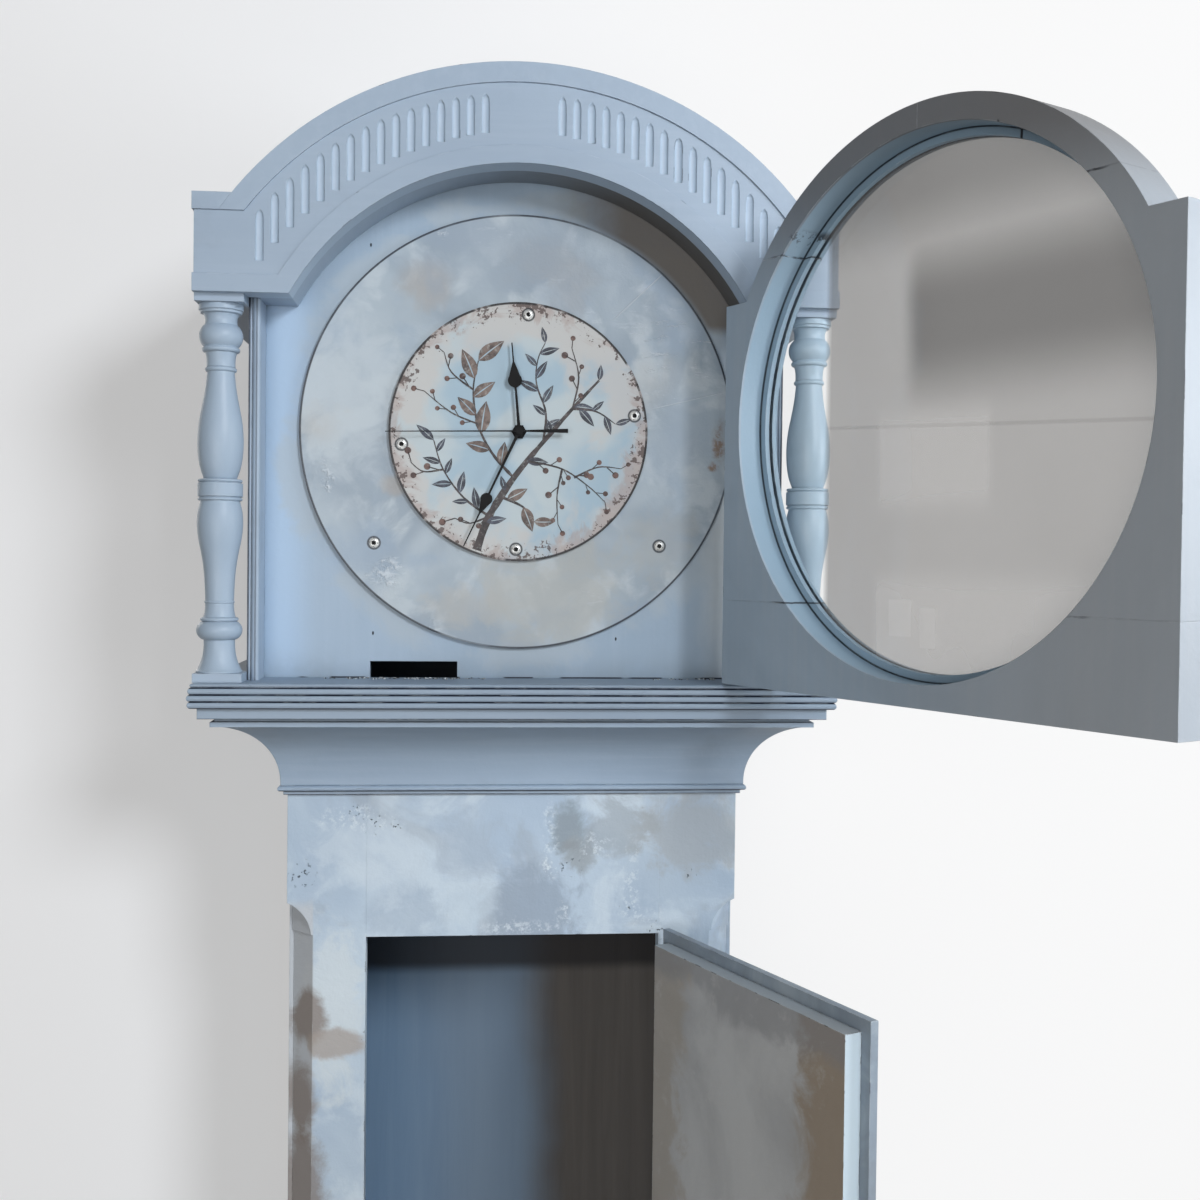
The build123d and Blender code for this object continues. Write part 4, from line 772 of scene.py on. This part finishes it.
# ---------------------------------------------------------------- jigs: pieces that follow a rule
class Jig(Bench):
    """A Geometry Nodes tree with named sizes."""

    def __init__(self, name, **sizes):
        self.tree = bpy.data.node_groups.new(name, "GeometryNodeTree")
        face = self.tree.interface
        face.new_socket("Geometry", in_out="INPUT", socket_type="NodeSocketGeometry")
        face.new_socket("Geometry", in_out="OUTPUT", socket_type="NodeSocketGeometry")
        self.keys = {}
        for size, kind in sizes.items():
            socket = face.new_socket(size.replace("_", " "), in_out="INPUT", socket_type="NodeSocket" + kind)
            self.keys[size] = socket.identifier
        self.given = self.add("NodeGroupInput").outputs
        self.result = self.add("NodeGroupOutput").inputs[0]

    def size(self, name):
        return Value(self, self.given[name.replace("_", " ")])

    def point(self, x=0.0, y=0.0, z=0.0):
        return self.step("ShaderNodeCombineXYZ", X=x, Y=y, Z=z)

    def where(self):
        """The three numbers of a point's place."""
        return self.split(self.step("GeometryNodeInputPosition"))

    def random(self, low, high, seed):
        node = self.add("FunctionNodeRandomValue", data_type="FLOAT")
        self.feed(node.inputs["Seed"], seed)
        return self.fill(node, low, high)

    def smoothed(self, mesh, crease):
        """Shade smooth, but leave edges sharper than the crease angle hard."""
        sharp = self.step("FunctionNodeCompare", {"operation": "GREATER_THAN"},
                          A=self.step("GeometryNodeInputMeshEdgeAngle"), B=crease)
        mesh = self.step("GeometryNodeSetShadeSmooth", Geometry=mesh, Shade_Smooth=True)
        return self.step("GeometryNodeSetShadeSmooth", {"domain": "EDGE"}, Geometry=mesh, Selection=sharp,
                         Shade_Smooth=False)

    def finished(self, parts, material):
        """Realize the instances and lay on the finish."""
        whole = self.step("GeometryNodeRealizeInstances", Geometry=parts)
        return self.step("GeometryNodeSetMaterial", Geometry=whole, Material=material)

    def make(self, name, points, edges, body, slot, replaced=(), **sizes):
        """Run the jig on a wire or a set of points, and mount what it makes on a body."""
        wire = bpy.data.meshes.new(name)
        wire.from_pydata(points, edges, [])
        piece = bpy.data.objects.new(name, wire)
        bpy.context.scene.collection.objects.link(piece)
        modifier = piece.modifiers.new(self.tree.name, "NODES")
        modifier.node_group = self.tree
        for size, value in sizes.items():
            modifier[self.keys[size]] = value
        shaped = piece.evaluated_get(bpy.context.evaluated_depsgraph_get())
        mesh = bpy.data.meshes.new_from_object(shaped)
        piece.modifiers.clear()
        piece.data = mesh
        mesh.name = name
        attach(piece, body)
        if replaced:
            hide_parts(*replaced)
        return piece


# ---------------------------------------------------------------- turned columns
def arc_points(start, middle, end, steps):
    """Points after the start, along the arc through three (radius, height) points."""
    (ax, ay), (bx, by), (cx, cy) = start, middle, end
    twice = 2 * (ax * (by - cy) + bx * (cy - ay) + cx * (ay - by))
    a2, b2, c2 = ax * ax + ay * ay, bx * bx + by * by, cx * cx + cy * cy
    x = (a2 * (by - cy) + b2 * (cy - ay) + c2 * (ay - by)) / twice
    y = (a2 * (cx - bx) + b2 * (ax - cx) + c2 * (bx - ax)) / twice
    radius = hypot(ax - x, ay - y)
    first, passing, last = (atan2(py - y, px - x) for px, py in (start, middle, end))
    sweep = (last - first) % (2 * pi)
    if (passing - first) % (2 * pi) > sweep:
        sweep -= 2 * pi
    angles = (first + sweep * step / steps for step in range(1, steps + 1))
    return [(x + radius * cos(angle), y + radius * sin(angle)) for angle in angles]


def smooth_stations(stations, steps):
    """Points through (radius, share of the height) stations, eased between neighbours."""
    ends = [stations[0]] + list(stations) + [stations[-1]]
    points = []
    for before, start, end, after in zip(ends, ends[1:], ends[2:], ends[3:]):
        rise = end[1] - start[1]
        lean_in = (end[0] - before[0]) / max(end[1] - before[1], 1e-6) * rise
        lean_out = (after[0] - start[0]) / max(after[1] - start[1], 1e-6) * rise
        for step in range(1, steps + 1):
            t = step / steps
            radius = ((2 * t ** 3 - 3 * t ** 2 + 1) * start[0] + (t ** 3 - 2 * t ** 2 + t) * lean_in
                      + (3 * t ** 2 - 2 * t ** 3) * end[0] + (t ** 3 - t ** 2) * lean_out)
            points.append((radius, start[1] + rise * t))
    return points


def column_outline(height):
    """Radius and height, in millimetres: bell foot, torus, two vases round a band, torus and bell."""
    foot = [
        (18.0, 1.2), (17.2, 0.6), (13.2, 10.6, 12.1, 22.0), (12.1, 2.0), (13.6, 0.5),
        (17.8, 6.9, 14.0, 13.8), (13.2, 0.5), (14.8, 1.5, 13.6, 3.0), (12.4, 0.4),
        (11.3, 5.6, 11.1, 10.8), (11.7, 0.9, 11.1, 1.9),
    ]
    band = [
        (15.4, 0.5), (17.2, 1.2, 16.2, 2.4), (16.2, 0.5), (17.5, 0.4), (17.5, 10.4), (16.2, 0.4),
        (16.2, 0.5), (17.2, 1.1, 15.8, 2.2), (12.7, 0.4),
    ]
    head = [
        (12.3, 1.8, 10.8, 3.7), (11.2, 0.4), (11.2, 5.6, 12.2, 11.0), (13.4, 0.4),
        (14.7, 1.9, 13.6, 3.8), (13.4, 0.4), (17.0, 8.6, 13.2, 17.0), (12.7, 0.3), (12.7, 0.8),
        (12.4, 3.2, 13.9, 7.6), (16.0, 0.5), (16.2, 1.8), (17.3, 0.6), (17.3, 4.6),
    ]
    lower_vase = [(11.1, 0.0), (11.2, 0.05), (11.6, 0.17), (12.5, 0.32), (14.3, 0.47), (16.6, 0.62),
                  (17.6, 0.72), (17.8, 0.80), (17.3, 0.89), (15.3, 1.0)]
    upper_vase = [(12.7, 0.0), (15.6, 0.10), (17.3, 0.22), (17.8, 0.35), (17.4, 0.46), (16.4, 0.56),
                  (14.3, 0.69), (12.2, 0.83), (11.0, 0.95), (10.7, 1.0)]
    vases = height - sum(member[-1] for member in foot + band + head)
    points = [(0.0, 0.0), (18.0, 0.0)]

    def turn(members):
        for member in members:
            here = points[-1]
            end = (member[-2], here[1] + member[-1])
            if len(member) == 2:
                points.append(end)
            else:
                middle = (member[0], here[1] + member[1])
                points.extend(arc_points(here, middle, end, 10))

    def vase(stations, length):
        base = points[-1][1]
        points.extend((radius, base + share * length) for radius, share in smooth_stations(stations, 6))

    lower_share = 0.483
    turn(foot)
    vase(lower_vase, lower_share * vases)
    turn(band)
    vase(upper_vase, (1 - lower_share) * vases)
    turn(head)
    points.append((0.0, points[-1][1]))
    return points


def column_lathe():
    """Sweeps a wire outline round an upright axis."""
    jig = Jig("column lathe", Axis_place="Vector", Rail_radius="Float", Cuts_round="Int", Crease="Float",
              Finish="Material")
    profile = jig.step("GeometryNodeMeshToCurve", Mesh=jig.given["Geometry"])
    rail = jig.step("GeometryNodeCurvePrimitiveCircle", Resolution=jig.size("Cuts_round"),
                    Radius=jig.size("Rail_radius"))
    turned = jig.step("GeometryNodeCurveToMesh", Curve=rail, Profile_Curve=profile)
    turned = jig.step("GeometryNodeMergeByDistance", Geometry=turned, Distance=0.00001)
    turned = jig.smoothed(turned, jig.size("Crease"))
    turned = jig.step("GeometryNodeTransform", Geometry=turned, Translation=jig.size("Axis_place"))
    jig.feed(jig.result, jig.finished(turned, jig.size("Finish")))
    return jig


lathe = column_lathe()
rail_radius = 0.03
for side in ("left", "right"):
    low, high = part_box("column_" + side)
    section = column_outline((high.z - low.z) / MM)
    wire = [(radius * MM - rail_radius, -height * MM, 0.0) for radius, height in section]
    lathe.make(
        "turned_column_" + side, wire, [(k, k + 1) for k in range(len(wire) - 1)], "hood", "hood_paint",
        replaced=("column_" + side,), Axis_place=((low.x + high.x) / 2, (low.y + high.y) / 2, low.z),
        Rail_radius=rail_radius, Cuts_round=72, Crease=radians(32), Finish=turned_coats[side])


# ---------------------------------------------------------------- screws
def screw_jig(name, bars):
    """A domed head with one or two bars cut in it, set on every point, each turned by chance."""
    jig = Jig(name, Facing="Rotation", Head_radius="Float", Head_height="Float", Slot_width="Float",
              Slot_depth="Float", Seed="Int", Finish="Material", Drive_finish="Material")
    radius, height = jig.size("Head_radius"), jig.size("Head_height")
    ball = jig.step("GeometryNodeMeshUVSphere", Segments=40, Rings=24, Radius=1.0)
    stretch = jig.point(radius, radius, height)
    head = jig.step("GeometryNodeTransform", Geometry=ball, Scale=stretch)
    x, y, z = jig.where()
    flat = jig.point(x, y, jig.larger(z, 0.0))
    head = jig.step("GeometryNodeSetPosition", Geometry=head, Position=flat)
    for bar in range(bars):
        long = radius * (0.85 if bars > 1 else 2.4)
        box = jig.step("GeometryNodeMeshCube", Size=jig.point(jig.size("Slot_width") if bar else long,
                long if bar else jig.size("Slot_width"), jig.size("Slot_depth") * 2.0))
        box = jig.step("GeometryNodeTransform", Geometry=box, Translation=jig.point(z=height))
        head = jig.step("GeometryNodeMeshBoolean", {"operation": "DIFFERENCE", "solver": "EXACT"},
                        Mesh_1=head, Mesh_2=box)
    head = jig.smoothed(head, radians(30))
    x, y, z = jig.where()
    low = jig.sum("LESS_THAN", z, height * 0.75)
    inner = jig.sum("LESS_THAN", jig.larger(abs(x), abs(y)), radius * 0.6)
    mark = jig.add("GeometryNodeStoreNamedAttribute", data_type="BOOLEAN", domain="FACE")
    head = jig.fill(mark, head, True, "drive", low * inner)
    chance = jig.random(0.0, pi, jig.size("Seed"))
    spin = jig.step("FunctionNodeAxisAngleToRotation", Axis=(0, 0, 1), Angle=chance)
    turn = jig.step("FunctionNodeRotateRotation", {"rotation_space": "LOCAL"}, Rotation=jig.size("Facing"),
                    Rotate_By=spin)
    points = jig.step("GeometryNodeMeshToPoints", Mesh=jig.given["Geometry"])
    heads = jig.step("GeometryNodeInstanceOnPoints", Points=points, Instance=head, Rotation=turn)
    # The faces inside the drive take a dark finish of their own: painted shade.
    drive = jig.fill(jig.add("GeometryNodeInputNamedAttribute", data_type="BOOLEAN"), "drive")
    whole = jig.finished(heads, jig.size("Finish"))
    whole = jig.step("GeometryNodeSetMaterial", Geometry=whole, Material=jig.size("Drive_finish"),
                     Selection=drive)
    jig.feed(jig.result, whole)
    return jig


forward = Matrix.Rotation(pi / 2, 4, "X").to_euler()
cross_head = screw_jig("cross head screws", 2)
slot_head = screw_jig("slotted screws", 1)
seats = [round_dial(dial_radius - DIAL_SCREW_INSET, turn, dial_middle.y) for turn in DIAL_SCREW_TURNS]
seats += [round_dial(disc_radius - DISC_SCREW_INSET, turn, disc_middle.y) for turn in DISC_SCREW_TURNS]
cross_head.make("dial_screw_heads", seats, [], "hood", "lock_steel", replaced=("dial_screws",),
                Facing=forward, Head_radius=0.0043, Head_height=0.0016, Slot_width=0.0021, Slot_depth=0.0015,
                Seed=4, Finish=screw_metal, Drive_finish=lacquer)

leaf_low, leaf_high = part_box("trunk_frame_hinge_leaves")
hinge_levels = (leaf_high.z - 0.025, leaf_low.z + 0.025)
case_seats = [(leaf_high.x - 0.0065, leaf_low.y + 0.0047, level + rise) for level in hinge_levels
              for rise in (-SCREW_PITCH, 0.0, SCREW_PITCH)]
slot_head.make("case_hinge_screws", case_seats, [], "case", "lock_steel", Facing=forward,
               Head_radius=0.0024, Head_height=0.0004, Slot_width=0.0006, Slot_depth=0.0004, Seed=9,
               Finish=dull_brass, Drive_finish=iron)


# ---------------------------------------------------------------- printed sprigs on the disc
def smooth_path(stations, steps=6):
    """Points on the disc's face, eased through (across, up) stations in millimetres."""
    ends = [stations[0]] + list(stations) + [stations[-1]]
    path = [stations[0]]
    for before, start, end, after in zip(ends, ends[1:], ends[2:], ends[3:]):
        for step in range(1, steps + 1):
            t = step / steps
            path.append(tuple(((2 * b) + (c - a) * t + (2 * a - 5 * b + 4 * c - d) * t * t
                    + (3 * b - a - 3 * c + d) * t ** 3) / 2 for a, b, c, d in zip(before, start, end, after)))
    return [(disc_middle.x + across * MM, disc_middle.y, disc_middle.z + up * MM) for across, up in path]


def wires(*paths):
    """Several separate wires as one list of points and one of edges."""
    points, edges = [], []
    for path in paths:
        first = len(points)
        points += smooth_path(path)
        edges += [(k, k + 1) for k in range(first, len(points) - 1)]
    return points, edges


class SprigJig(Jig):
    """Flat printed shapes that face the front: ribbons for stems, blades and dots set along them."""

    def stems(self, paths):
        """A ribbon that narrows to its tip, with an uneven edge."""
        taper = self.step("ShaderNodeMapRange", Value=self.step("GeometryNodeSplineParameter", out="Factor"),
                          To_Min=self.size("Stem_width"), To_Max=self.size("Tip_width"))
        rough = self.step("ShaderNodeTexNoise", Vector=self.step("GeometryNodeInputPosition"), Scale=210.0)
        width = taper * (rough + 0.5)
        outward = self.step("GeometryNodeSetCurveNormal", {"mode": "FREE"}, Curve=paths, Normal=(0, -1, 0))
        strip = self.step("GeometryNodeCurvePrimitiveLine", Start=(0, -0.5, 0), End=(0, 0.5, 0))
        return self.step("GeometryNodeCurveToMesh", Curve=outward, Profile_Curve=strip, Scale=width)

    def blade(self):
        """A pointed leaf, one unit long, in two halves with a gap for the midrib."""
        sheet = self.step("GeometryNodeMeshGrid", Size_X=1.0, Size_Y=2.0, Vertices_X=9, Vertices_Y=6)
        x, y, z = self.where()
        share = x + 0.5
        belly = self.sum("SINE", self.sum("POWER", share, 0.8) * pi)
        side = self.sum("SIGN", y)
        out = self.sum("MULTIPLY_ADD", abs(y) - 0.2, 1.14, 0.09)
        reach = side * out * (belly * 0.5)
        bend = share * share * 0.16
        middle = self.step("FunctionNodeCompare", {"operation": "LESS_THAN"}, A=abs(y), B=0.1)
        halves = self.step("GeometryNodeDeleteGeometry", {"domain": "FACE"}, Geometry=sheet, Selection=middle)
        return self.step("GeometryNodeSetPosition", Geometry=halves,
                         Position=self.point(share, 0.0, reach + bend))

    def set_along(self, paths, blade, angle_low, angle_high):
        """Blades set along the stems, left and right in turn."""
        points = self.add("GeometryNodeCurveToPoints", mode="LENGTH")
        self.feed(points.inputs["Curve"], paths)
        self.feed(points.inputs["Length"], self.size("Step"))
        x, y, z = self.split(points.outputs["Tangent"])
        index = self.step("GeometryNodeInputIndex")
        side = self.sum("MODULO", index, 2.0) * 2.0 - 1.0
        lean = side * self.random(angle_low, angle_high, self.size("Seed"))
        heading = self.sum("ARCTAN2", z, x) + lean
        turn = self.step("FunctionNodeEulerToRotation", Euler=self.point(y=heading * -1.0))
        size = self.random(0.62, 1.0, self.size("Seed") + 1.0)
        length = size * self.size("Leaf_length")
        width = size * self.size("Leaf_width") * side
        lift = self.random(-0.00003, -0.00001, self.size("Seed") + 2.0)
        lifted = self.step("GeometryNodeSetPosition", Geometry=points.outputs["Points"],
                           Offset=self.point(y=lift))
        return self.step("GeometryNodeInstanceOnPoints", Points=lifted, Instance=blade, Rotation=turn,
                         Scale=self.point(length, 1.0, width))

    def inked(self, parts, ink):
        return self.finished(parts, self.size(ink))

    def printed(self, *parts):
        """Join the shapes, lay every face towards the front and lift the print off the paper."""
        node = self.add("GeometryNodeJoinGeometry")
        for part in parts:
            self.feed(node.inputs[0], part)
        whole = self.step("GeometryNodeRealizeInstances", Geometry=node.outputs[0])
        x, y, z = self.split(self.step("GeometryNodeInputNormal"))
        away = self.step("FunctionNodeCompare", {"operation": "GREATER_THAN"}, A=y, B=0.0)
        whole = self.step("GeometryNodeFlipFaces", Mesh=whole, Selection=away)
        whole = self.step("GeometryNodeSetPosition", Geometry=whole,
                          Offset=self.point(y=self.size("Lift") * -1.0))
        self.feed(self.result, whole)
        return self


def sprig_jig(name, ink):
    """A sprig jig's named sizes, and the curves to set things along."""
    sizes = dict.fromkeys("Lift Stem_width Tip_width Step Leaf_length Leaf_width".split(), "Float")
    jig = SprigJig(name, **sizes, Seed="Int", Stem_ink="Material", **{ink: "Material"})
    return jig, jig.step("GeometryNodeMeshToCurve", Mesh=jig.given["Geometry"])


def leaf_jig():
    """Leafy stems: ribbons in one ink, leaves in another."""
    jig, paths = sprig_jig("printed leaves", "Leaf_ink")
    upper = jig.step("GeometryNodeTrimCurve", Curve=paths, Start=0.14, End=1.0)
    leaves = jig.set_along(upper, jig.blade(), 0.45, 0.95)
    return jig.printed(jig.inked(jig.stems(paths), "Stem_ink"), jig.inked(leaves, "Leaf_ink"))


def berry_jig():
    """Thin twigs with a berry on each short stalk."""
    jig, paths = sprig_jig("printed berries", "Berry_ink")
    stalk = jig.step("GeometryNodeMeshGrid", Size_X=1.0, Size_Y=0.10, Vertices_X=2, Vertices_Y=2)
    stalk = jig.step("GeometryNodeTransform", Geometry=stalk, Translation=(0.5, 0, 0), Rotation=forward)
    berry = jig.step("GeometryNodeMeshCircle", {"fill_type": "NGON"}, Vertices=14, Radius=0.30)
    dot = jig.step("GeometryNodeTransform", Geometry=berry, Translation=(1.15, 0, 0), Rotation=forward)
    upper = jig.step("GeometryNodeTrimCurve", Curve=paths, Start=0.10, End=1.0)
    stalks, dots = jig.set_along(upper, stalk, 0.35, 0.80), jig.set_along(upper, dot, 0.35, 0.80)
    return jig.printed(jig.inked(jig.stems(paths), "Stem_ink"), jig.inked(stalks, "Stem_ink"),
                       jig.inked(dots, "Berry_ink"))


brown_ink = ink("brown ink", (70, 60, 60), (36, 32, 34))
taupe_ink = ink("taupe ink", (122, 106, 98), (74, 62, 58), 0.4)
slate_ink = ink("slate ink", (72, 78, 92), (38, 42, 52))
rust_ink = ink("rust ink", (112, 84, 76), (66, 48, 46), 0.3)

leaves = leaf_jig()
berries = berry_jig()
for jig, name, sizes, inks, paths in (
    (leaves, "printed_bough", (0.00010, 0.0070, 0.0020, 0.030, 0.019, 0.0075), (3, brown_ink, slate_ink), (
        ((-34, -98), (-24, -70), (-4, -38), (20, -8), (44, 20), (66, 44)),)),
    (leaves, "printed_leaf_sprays", (0.00013, 0.0022, 0.0007, 0.0095, 0.020, 0.0072),
     (11, brown_ink, slate_ink), (
        ((-24, -70), (-45, -55), (-62, -32), (-70, -8)),
        ((20, -8), (22, 16), (14, 40), (15, 60), (21, 74)), ((44, 20), (64, 18), (80, 8)))),
    (leaves, "printed_broad_leaves", (0.00017, 0.0026, 0.0009, 0.0135, 0.027, 0.0125),
     (7, brown_ink, taupe_ink), (
        ((-4, -38), (-22, -18), (-34, 6), (-38, 34), (-34, 58)), ((-14, -54), (4, -62), (13, -74)))),
    (berries, "printed_berry_twigs", (0.00021, 0.0017, 0.0006, 0.0100, 0.0095, 0.0095),
     (5, brown_ink, rust_ink), (
        ((8, -24), (36, -30), (58, -44), (72, -57)), ((36, -30), (32, -52), (33, -76)),
        ((46, -37), (66, -28), (85, -29)), ((-62, -32), (-78, -34), (-88, -27)),
        ((-34, 6), (-56, 15), (-78, 32)), ((-38, 34), (-56, 48), (-62, 64)),
        ((44, 20), (49, 46), (43, 70)), ((-24, -70), (-40, -76), (-52, -72)))),
):
    jig.make(name, *wires(*paths), "hood", "disc_print", **dict(zip(jig.keys, sizes + inks)))


# ---------------------------------------------------------------- paint crumbs at the mask's foot
def crumb_jig():
    """Small flakes of paint strewn by chance along a wire."""
    jig = Jig("paint crumbs", Count="Int", Spread="Float", Flake_size="Float", Seed="Int", Finish="Material")
    shelf = jig.step("GeometryNodeMeshToCurve", Mesh=jig.given["Geometry"])
    points = jig.add("GeometryNodeCurveToPoints", mode="COUNT")
    jig.feed(points.inputs["Curve"], shelf)
    jig.feed(points.inputs["Count"], jig.size("Count"))
    drift = jig.point(jig.random(-0.012, 0.012, jig.size("Seed")),
                      jig.random(-1.0, 0.0, jig.size("Seed") + 1.0) * jig.size("Spread"), 0.0)
    strewn = jig.step("GeometryNodeSetPosition", Geometry=points.outputs["Points"], Offset=drift)
    flake = jig.step("GeometryNodeMeshIcoSphere", Radius=1.0, Subdivisions=1)
    size = jig.random(0.35, 1.0, jig.size("Seed") + 2.0) * jig.size("Flake_size")
    spin = jig.step("FunctionNodeEulerToRotation", Euler=jig.point(
            jig.random(-0.4, 0.4, jig.size("Seed") + 3.0), 0.0,
            jig.random(0.0, 6.28, jig.size("Seed") + 4.0)))
    flakes = jig.step("GeometryNodeInstanceOnPoints", Points=strewn, Instance=flake, Rotation=spin,
                      Scale=jig.point(size, size * 0.7, size * 0.4))
    jig.feed(jig.result, jig.finished(flakes, jig.size("Finish")))
    return jig


def crumb_paint(name):
    """Flakes that are pale paint on one side and dark dust on the other."""
    coat = Coat(name)
    coat.base(coat.ramp(coat.noise(420, 2), 0.46, 0.54), (48, 44, 42), (214, 220, 222))
    return coat.surface(0.8)


crumb_coat = crumb_paint("paint crumbs")
crumbs = crumb_jig()
shelf_z = ledge_high.z + 0.0003
for name, start, end, count, spread in (("crumbs_left", -0.150, -0.030, 90, 0.012),
                                        ("crumbs_right", 0.120, 0.170, 26, 0.012)):
    crumbs.make(name, [(start, mask_low.y - 0.0012, shelf_z), (end, mask_low.y - 0.0012, shelf_z)], [(0, 1)],
                "hood", "hood_paint", Count=count, Spread=spread, Flake_size=0.0017, Seed=count,
                Finish=crumb_coat)


# ---------------------------------------------------------------- room, light and camera
def stage_sheet(name, corners, material):
    """A flat sheet of the room, facing the side from which its corners run counter-clockwise."""
    mesh = bpy.data.meshes.new(name)
    mesh.from_pydata(corners, [], [range(len(corners))])
    mesh.materials.append(material)
    piece = bpy.data.objects.new(name, mesh)
    bpy.context.scene.collection.objects.link(piece)


def pale_stage(name, clear_from_behind=False):
    """A pale surface that keeps the shadow on its left and shows its own paleness on its right."""
    coat = Coat(name)
    glow = coat.step("ShaderNodeEmission", Color=rgb(248, 248, 248))
    camera = coat.ray("Camera")
    tone = coat.mix(camera, (0.34, 0.31, 0.28, 1), (0.92, 0.92, 0.92, 1))
    away = coat.sum("POWER", coat.x * coat.x + coat.y * coat.y, 0.5)
    share = coat.ramp(coat.x, -0.25, 0.40, 0.25, 0.90)
    share = coat.larger(share, camera * coat.ramp(away, 1.1, 3.2))
    seen = coat.ray("Camera", "Glossy", "Transmission")
    surface = coat.blend(seen * share, coat.step("ShaderNodeBsdfDiffuse", Color=tone), glow)
    if clear_from_behind:
        behind = coat.larger(coat.step("ShaderNodeNewGeometry", out="Backfacing"), coat.ray("Shadow"))
        surface = coat.blend(behind, surface, coat.step("ShaderNodeBsdfTransparent"))
    return coat.done(surface)


room = 6.0
wall_front = board_high.y + 0.03
stage_sheet("floor", [(-room, -room, 0), (room, -room, 0), (room, room, 0), (-room, room, 0)],
            pale_stage("pale floor"))
stage_sheet("back_wall", [(-room, wall_front, 0), (room, wall_front, 0), (room, wall_front, room),
                          (-room, wall_front, room)], pale_stage("pale wall", clear_from_behind=True))


def area_light(name, place, aim, size, power, colour):
    lamp = bpy.data.lights.new(name, "AREA")
    lamp.shape = "DISK"
    lamp.size = size
    lamp.energy = power
    lamp.color = colour
    holder = bpy.data.objects.new(name, lamp)
    holder.location = place
    holder.rotation_euler = (Vector(aim) - Vector(place)).to_track_quat("-Z", "Y").to_euler()
    bpy.context.scene.collection.objects.link(holder)


area_light("window", (1.45, -2.75, 2.80), (0, 0, 1.5), 0.90, 56, (0.95, 0.985, 1.04))
area_light("front_fill", (-0.7, -3.0, 1.4), (0, 0, 1.35), 1.8, 31, (0.975, 0.985, 1.0))
area_light("side_window", (1.45, -0.70, 1.80), (0.15, -0.1, 1.65), 0.6, 9, (0.93, 0.985, 1.05))
area_light("back_fill", (-1.3, 1.6, 2.0), (0, 0.1, 1.2), 1.0, 18, (1.0, 0.99, 0.97))


def room_air():
    """Dim, warm light from all sides, which the camera sees as a pale room."""
    world = bpy.data.worlds.new("room")
    world.use_nodes = True
    air = Bench()
    air.tree = world.node_tree
    light = air.tree.nodes["Background"]
    light.inputs["Color"].default_value = (1.0, 0.93, 0.85, 1)
    light.inputs["Strength"].default_value = 0.14
    pale = air.step("ShaderNodeBackground", Color=rgb(240, 240, 240))
    blend = air.blend(air.ray("Camera", "Transmission"), light.outputs[0], pale)
    air.feed(air.tree.nodes["World Output"].inputs["Surface"], blend)
    return world


bpy.context.scene.world = room_air()
bpy.context.scene.view_settings.view_transform = "Standard"

camera_data = bpy.data.cameras.new("camera")
camera_data.sensor_width = 36.0
camera_data.lens = 41.45
camera_data.shift_x = 0.0008
camera_data.shift_y = -0.0108
camera_data.clip_start = 0.05
camera_data.clip_end = 50.0
camera = bpy.data.objects.new("camera", camera_data)
yaw, pitch, roll = radians(5.10), radians(-1.08), radians(0.643)
view = Matrix.Rotation(-yaw, 4, "Z") @ Matrix.Rotation(pi / 2 + pitch, 4, "X") @ Matrix.Rotation(roll, 4, "Z")
camera.matrix_world = Matrix.Translation((-0.0344, -1.2397, 1.5938)) @ view
bpy.context.scene.collection.objects.link(camera)
bpy.context.scene.camera = camera
